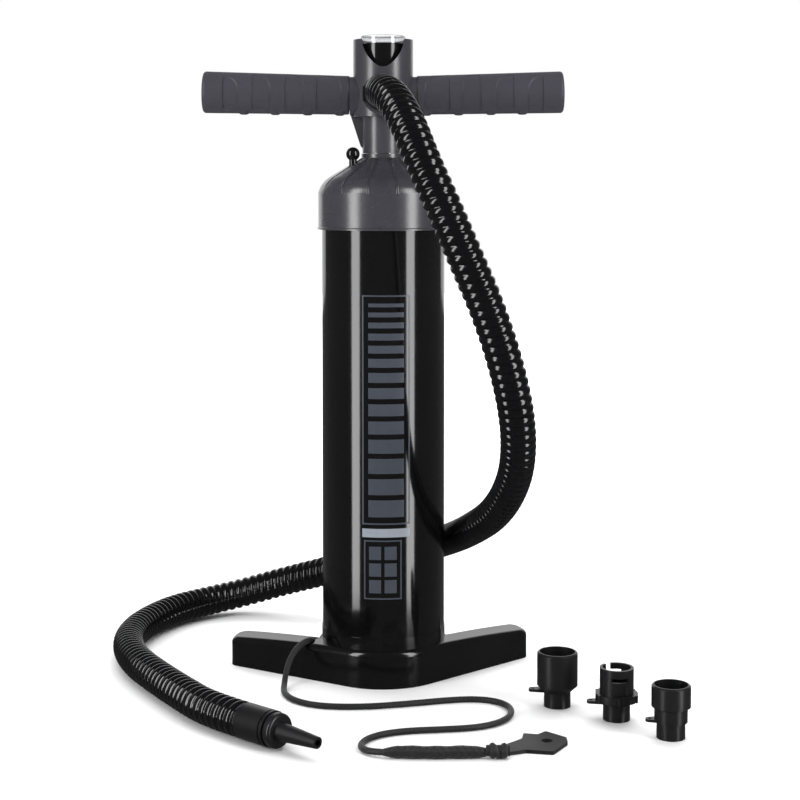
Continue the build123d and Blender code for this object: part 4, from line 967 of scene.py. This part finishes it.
CAD_FINISHES = {
    "satin_abs_handle": ("handle_body",),
    "satin_abs_cap": ("top_cap",),
    "gloss_abs_barrel": ("barrel_tube",),
    "gloss_abs_foot": ("foot",),
    "gloss_abs_gauge": ("gauge_body", "bypass_plug"),
    "nylon_black": ("hose_connector", "hose_end_cuff", "base_plate"),
    "nylon_adapter": ("spout", "cup_adapter", "bayonet_adapter", "slim_adapter"),
    "polypropylene_grey": ("cylinder_head", "piston_body", "piston_cover"),
    "nylon_natural": ("rod_bushing",),
    "nitrile_rubber": ("foot_seal", "head_seal", "piston_seal", "port_seal", "rod_wiper"),
    "silicone_flap": ("foot_intake_flap", "head_intake_flap", "piston_lower_flap", "piston_upper_flap",
                      "foot_valve_stud"),
    "anodised_rod": ("rod_tube",),
    "zinc_screw": ("base_screws", "piston_screws", "rod_screw"),
    "turned_brass": ("gauge_stem", "gauge_movement"),
    "dial_white": ("gauge_dial",),
    "dial_red": ("gauge_needle",),
    "clear_polycarbonate": ("gauge_lens",),
    "rubber_tab": ("leash_tab",),
    "gloss_pvc_hose": ("hose_tube",),
    "braided_leash": ("leash_cord", "leash_splice", "leash_knot"),
    "elastomer_grip": ("left_grip", "right_grip"),
}


class PUMP_OT_finishes(bpy.types.Operator):
    """Gives every piece of the frame the finish of its own material"""

    bl_idname = "pump.finishes"
    bl_label = "Finishes"

    def execute(self, context):
        for material, nodes in CAD_FINISHES.items():
            for name in nodes:
                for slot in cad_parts[name].material_slots:
                    slot.material = material_for(material)
        return {"FINISHED"}


class PUMP_OT_stage(bpy.types.Operator):
    """Sets the pale floor, the strips, the panel behind, the overhead lights and the white surroundings"""

    bl_idname = "pump.stage"
    bl_label = "Stage and lights"

    def execute(self, context):
        reach = 5.0
        mesh = bpy.data.meshes.new("studio_floor")
        build = bmesh.new()
        bmesh.ops.create_grid(build, x_segments=24, y_segments=24, size=reach)
        build.to_mesh(mesh)
        build.free()
        floor = new_piece("studio_floor", mesh, "studio_floor")
        floor.visible_glossy = False
        self.add_light("left_strip", (-1.62, -1.27, 0.75), (0, 0, 0.3), (0.62, 2.6), 38)
        self.add_light("right_strip", (1.62, -1.27, 0.75), (0, 0, 0.3), (0.62, 2.6), 38)
        self.add_light("back_panel", (0, 3.2, 1.15), (0, 0, 0.9), (6.0, 2.2), 40)
        for overhead in (
            self.add_light("top_light", (0, 0.3, 3.0), (0, 0.3, 0), (3.2, 3.2), 58),
            self.add_light("far_floor_light", (0, 3.6, 3.4), (0, 4.4, 0), (10.0, 4.0), 520),
        ):
            overhead.visible_glossy = False
        self.make_surroundings(context.scene)
        context.scene.view_settings.view_transform = "Standard"
        return {"FINISHED"}

    def make_surroundings(self, scene):
        """White where nothing stands, and dim in every reflection, like a dark studio behind the camera."""
        fill_strength = 0.10
        world = bpy.data.worlds.new("studio_surroundings")
        world.use_nodes = True
        tree = world.node_tree
        tree.nodes.clear()
        seen = add_node(tree, "ShaderNodeLightPath")
        dim = add_node(tree, "ShaderNodeBackground", None, {"Color": linear("FFFFFF"), "Strength": fill_strength})
        white = add_node(tree, "ShaderNodeBackground", None, {"Color": linear("FFFFFF"), "Strength": 1.0})
        mix = add_node(tree, "ShaderNodeMixShader", None, {"Fac": seen.outputs["Is Camera Ray"]})
        tree.links.new(dim.outputs["Background"], mix.inputs[1])
        tree.links.new(white.outputs["Background"], mix.inputs[2])
        output = add_node(tree, "ShaderNodeOutputWorld")
        tree.links.new(mix.outputs["Shader"], output.inputs["Surface"])
        scene.world = world

    def add_light(self, name, place, target, size, power):
        """A rectangular soft light that looks at a target."""
        data = bpy.data.lights.new(name, "AREA")
        data.shape = "RECTANGLE"
        data.size, data.size_y = size
        data.energy = power
        light = bpy.data.objects.new(name, data)
        light.location = place
        heading = Vector(target) - Vector(place)
        light.rotation_euler = heading.to_track_quat("-Z", "Y").to_euler()
        bpy.context.scene.collection.objects.link(light)
        return light


class PUMP_PT_panel(bpy.types.Panel):
    """Lists the steps that build the pump"""

    bl_label = "Hand pump"
    bl_idname = "PUMP_PT_panel"
    bl_space_type = "VIEW_3D"
    bl_region_type = "UI"
    bl_category = "Hand pump"

    def draw(self, context):
        for group in (context.scene.pump_sizes, context.scene.pump_colours):
            for name in group.__annotations__:
                self.layout.prop(group, name)
        for step in STEPS:
            self.layout.operator(step.bl_idname)


STEPS = (
    PUMP_OT_camera,
    PUMP_OT_hose,
    PUMP_OT_leash,
    PUMP_OT_grips,
    PUMP_OT_gauge,
    PUMP_OT_label,
    PUMP_OT_finishes,
    PUMP_OT_stage,
)
CLASSES = (PumpSizes, PumpColours, *STEPS, PUMP_PT_panel)


def register():
    """Registers the classes and the scene's settings."""
    for cls in CLASSES:
        bpy.utils.register_class(cls)
    bpy.types.Scene.pump_sizes = PointerProperty(type=PumpSizes)
    bpy.types.Scene.pump_colours = PointerProperty(type=PumpColours)


def unregister():
    """Removes the settings and the classes."""
    del bpy.types.Scene.pump_colours
    del bpy.types.Scene.pump_sizes
    for cls in reversed(CLASSES):
        bpy.utils.unregister_class(cls)


def main():
    """Runs every step in order."""
    register()
    for step in STEPS:
        group, name = step.bl_idname.split(".")
        getattr(getattr(bpy.ops, group), name)()


if __name__ == "__main__":
    main()
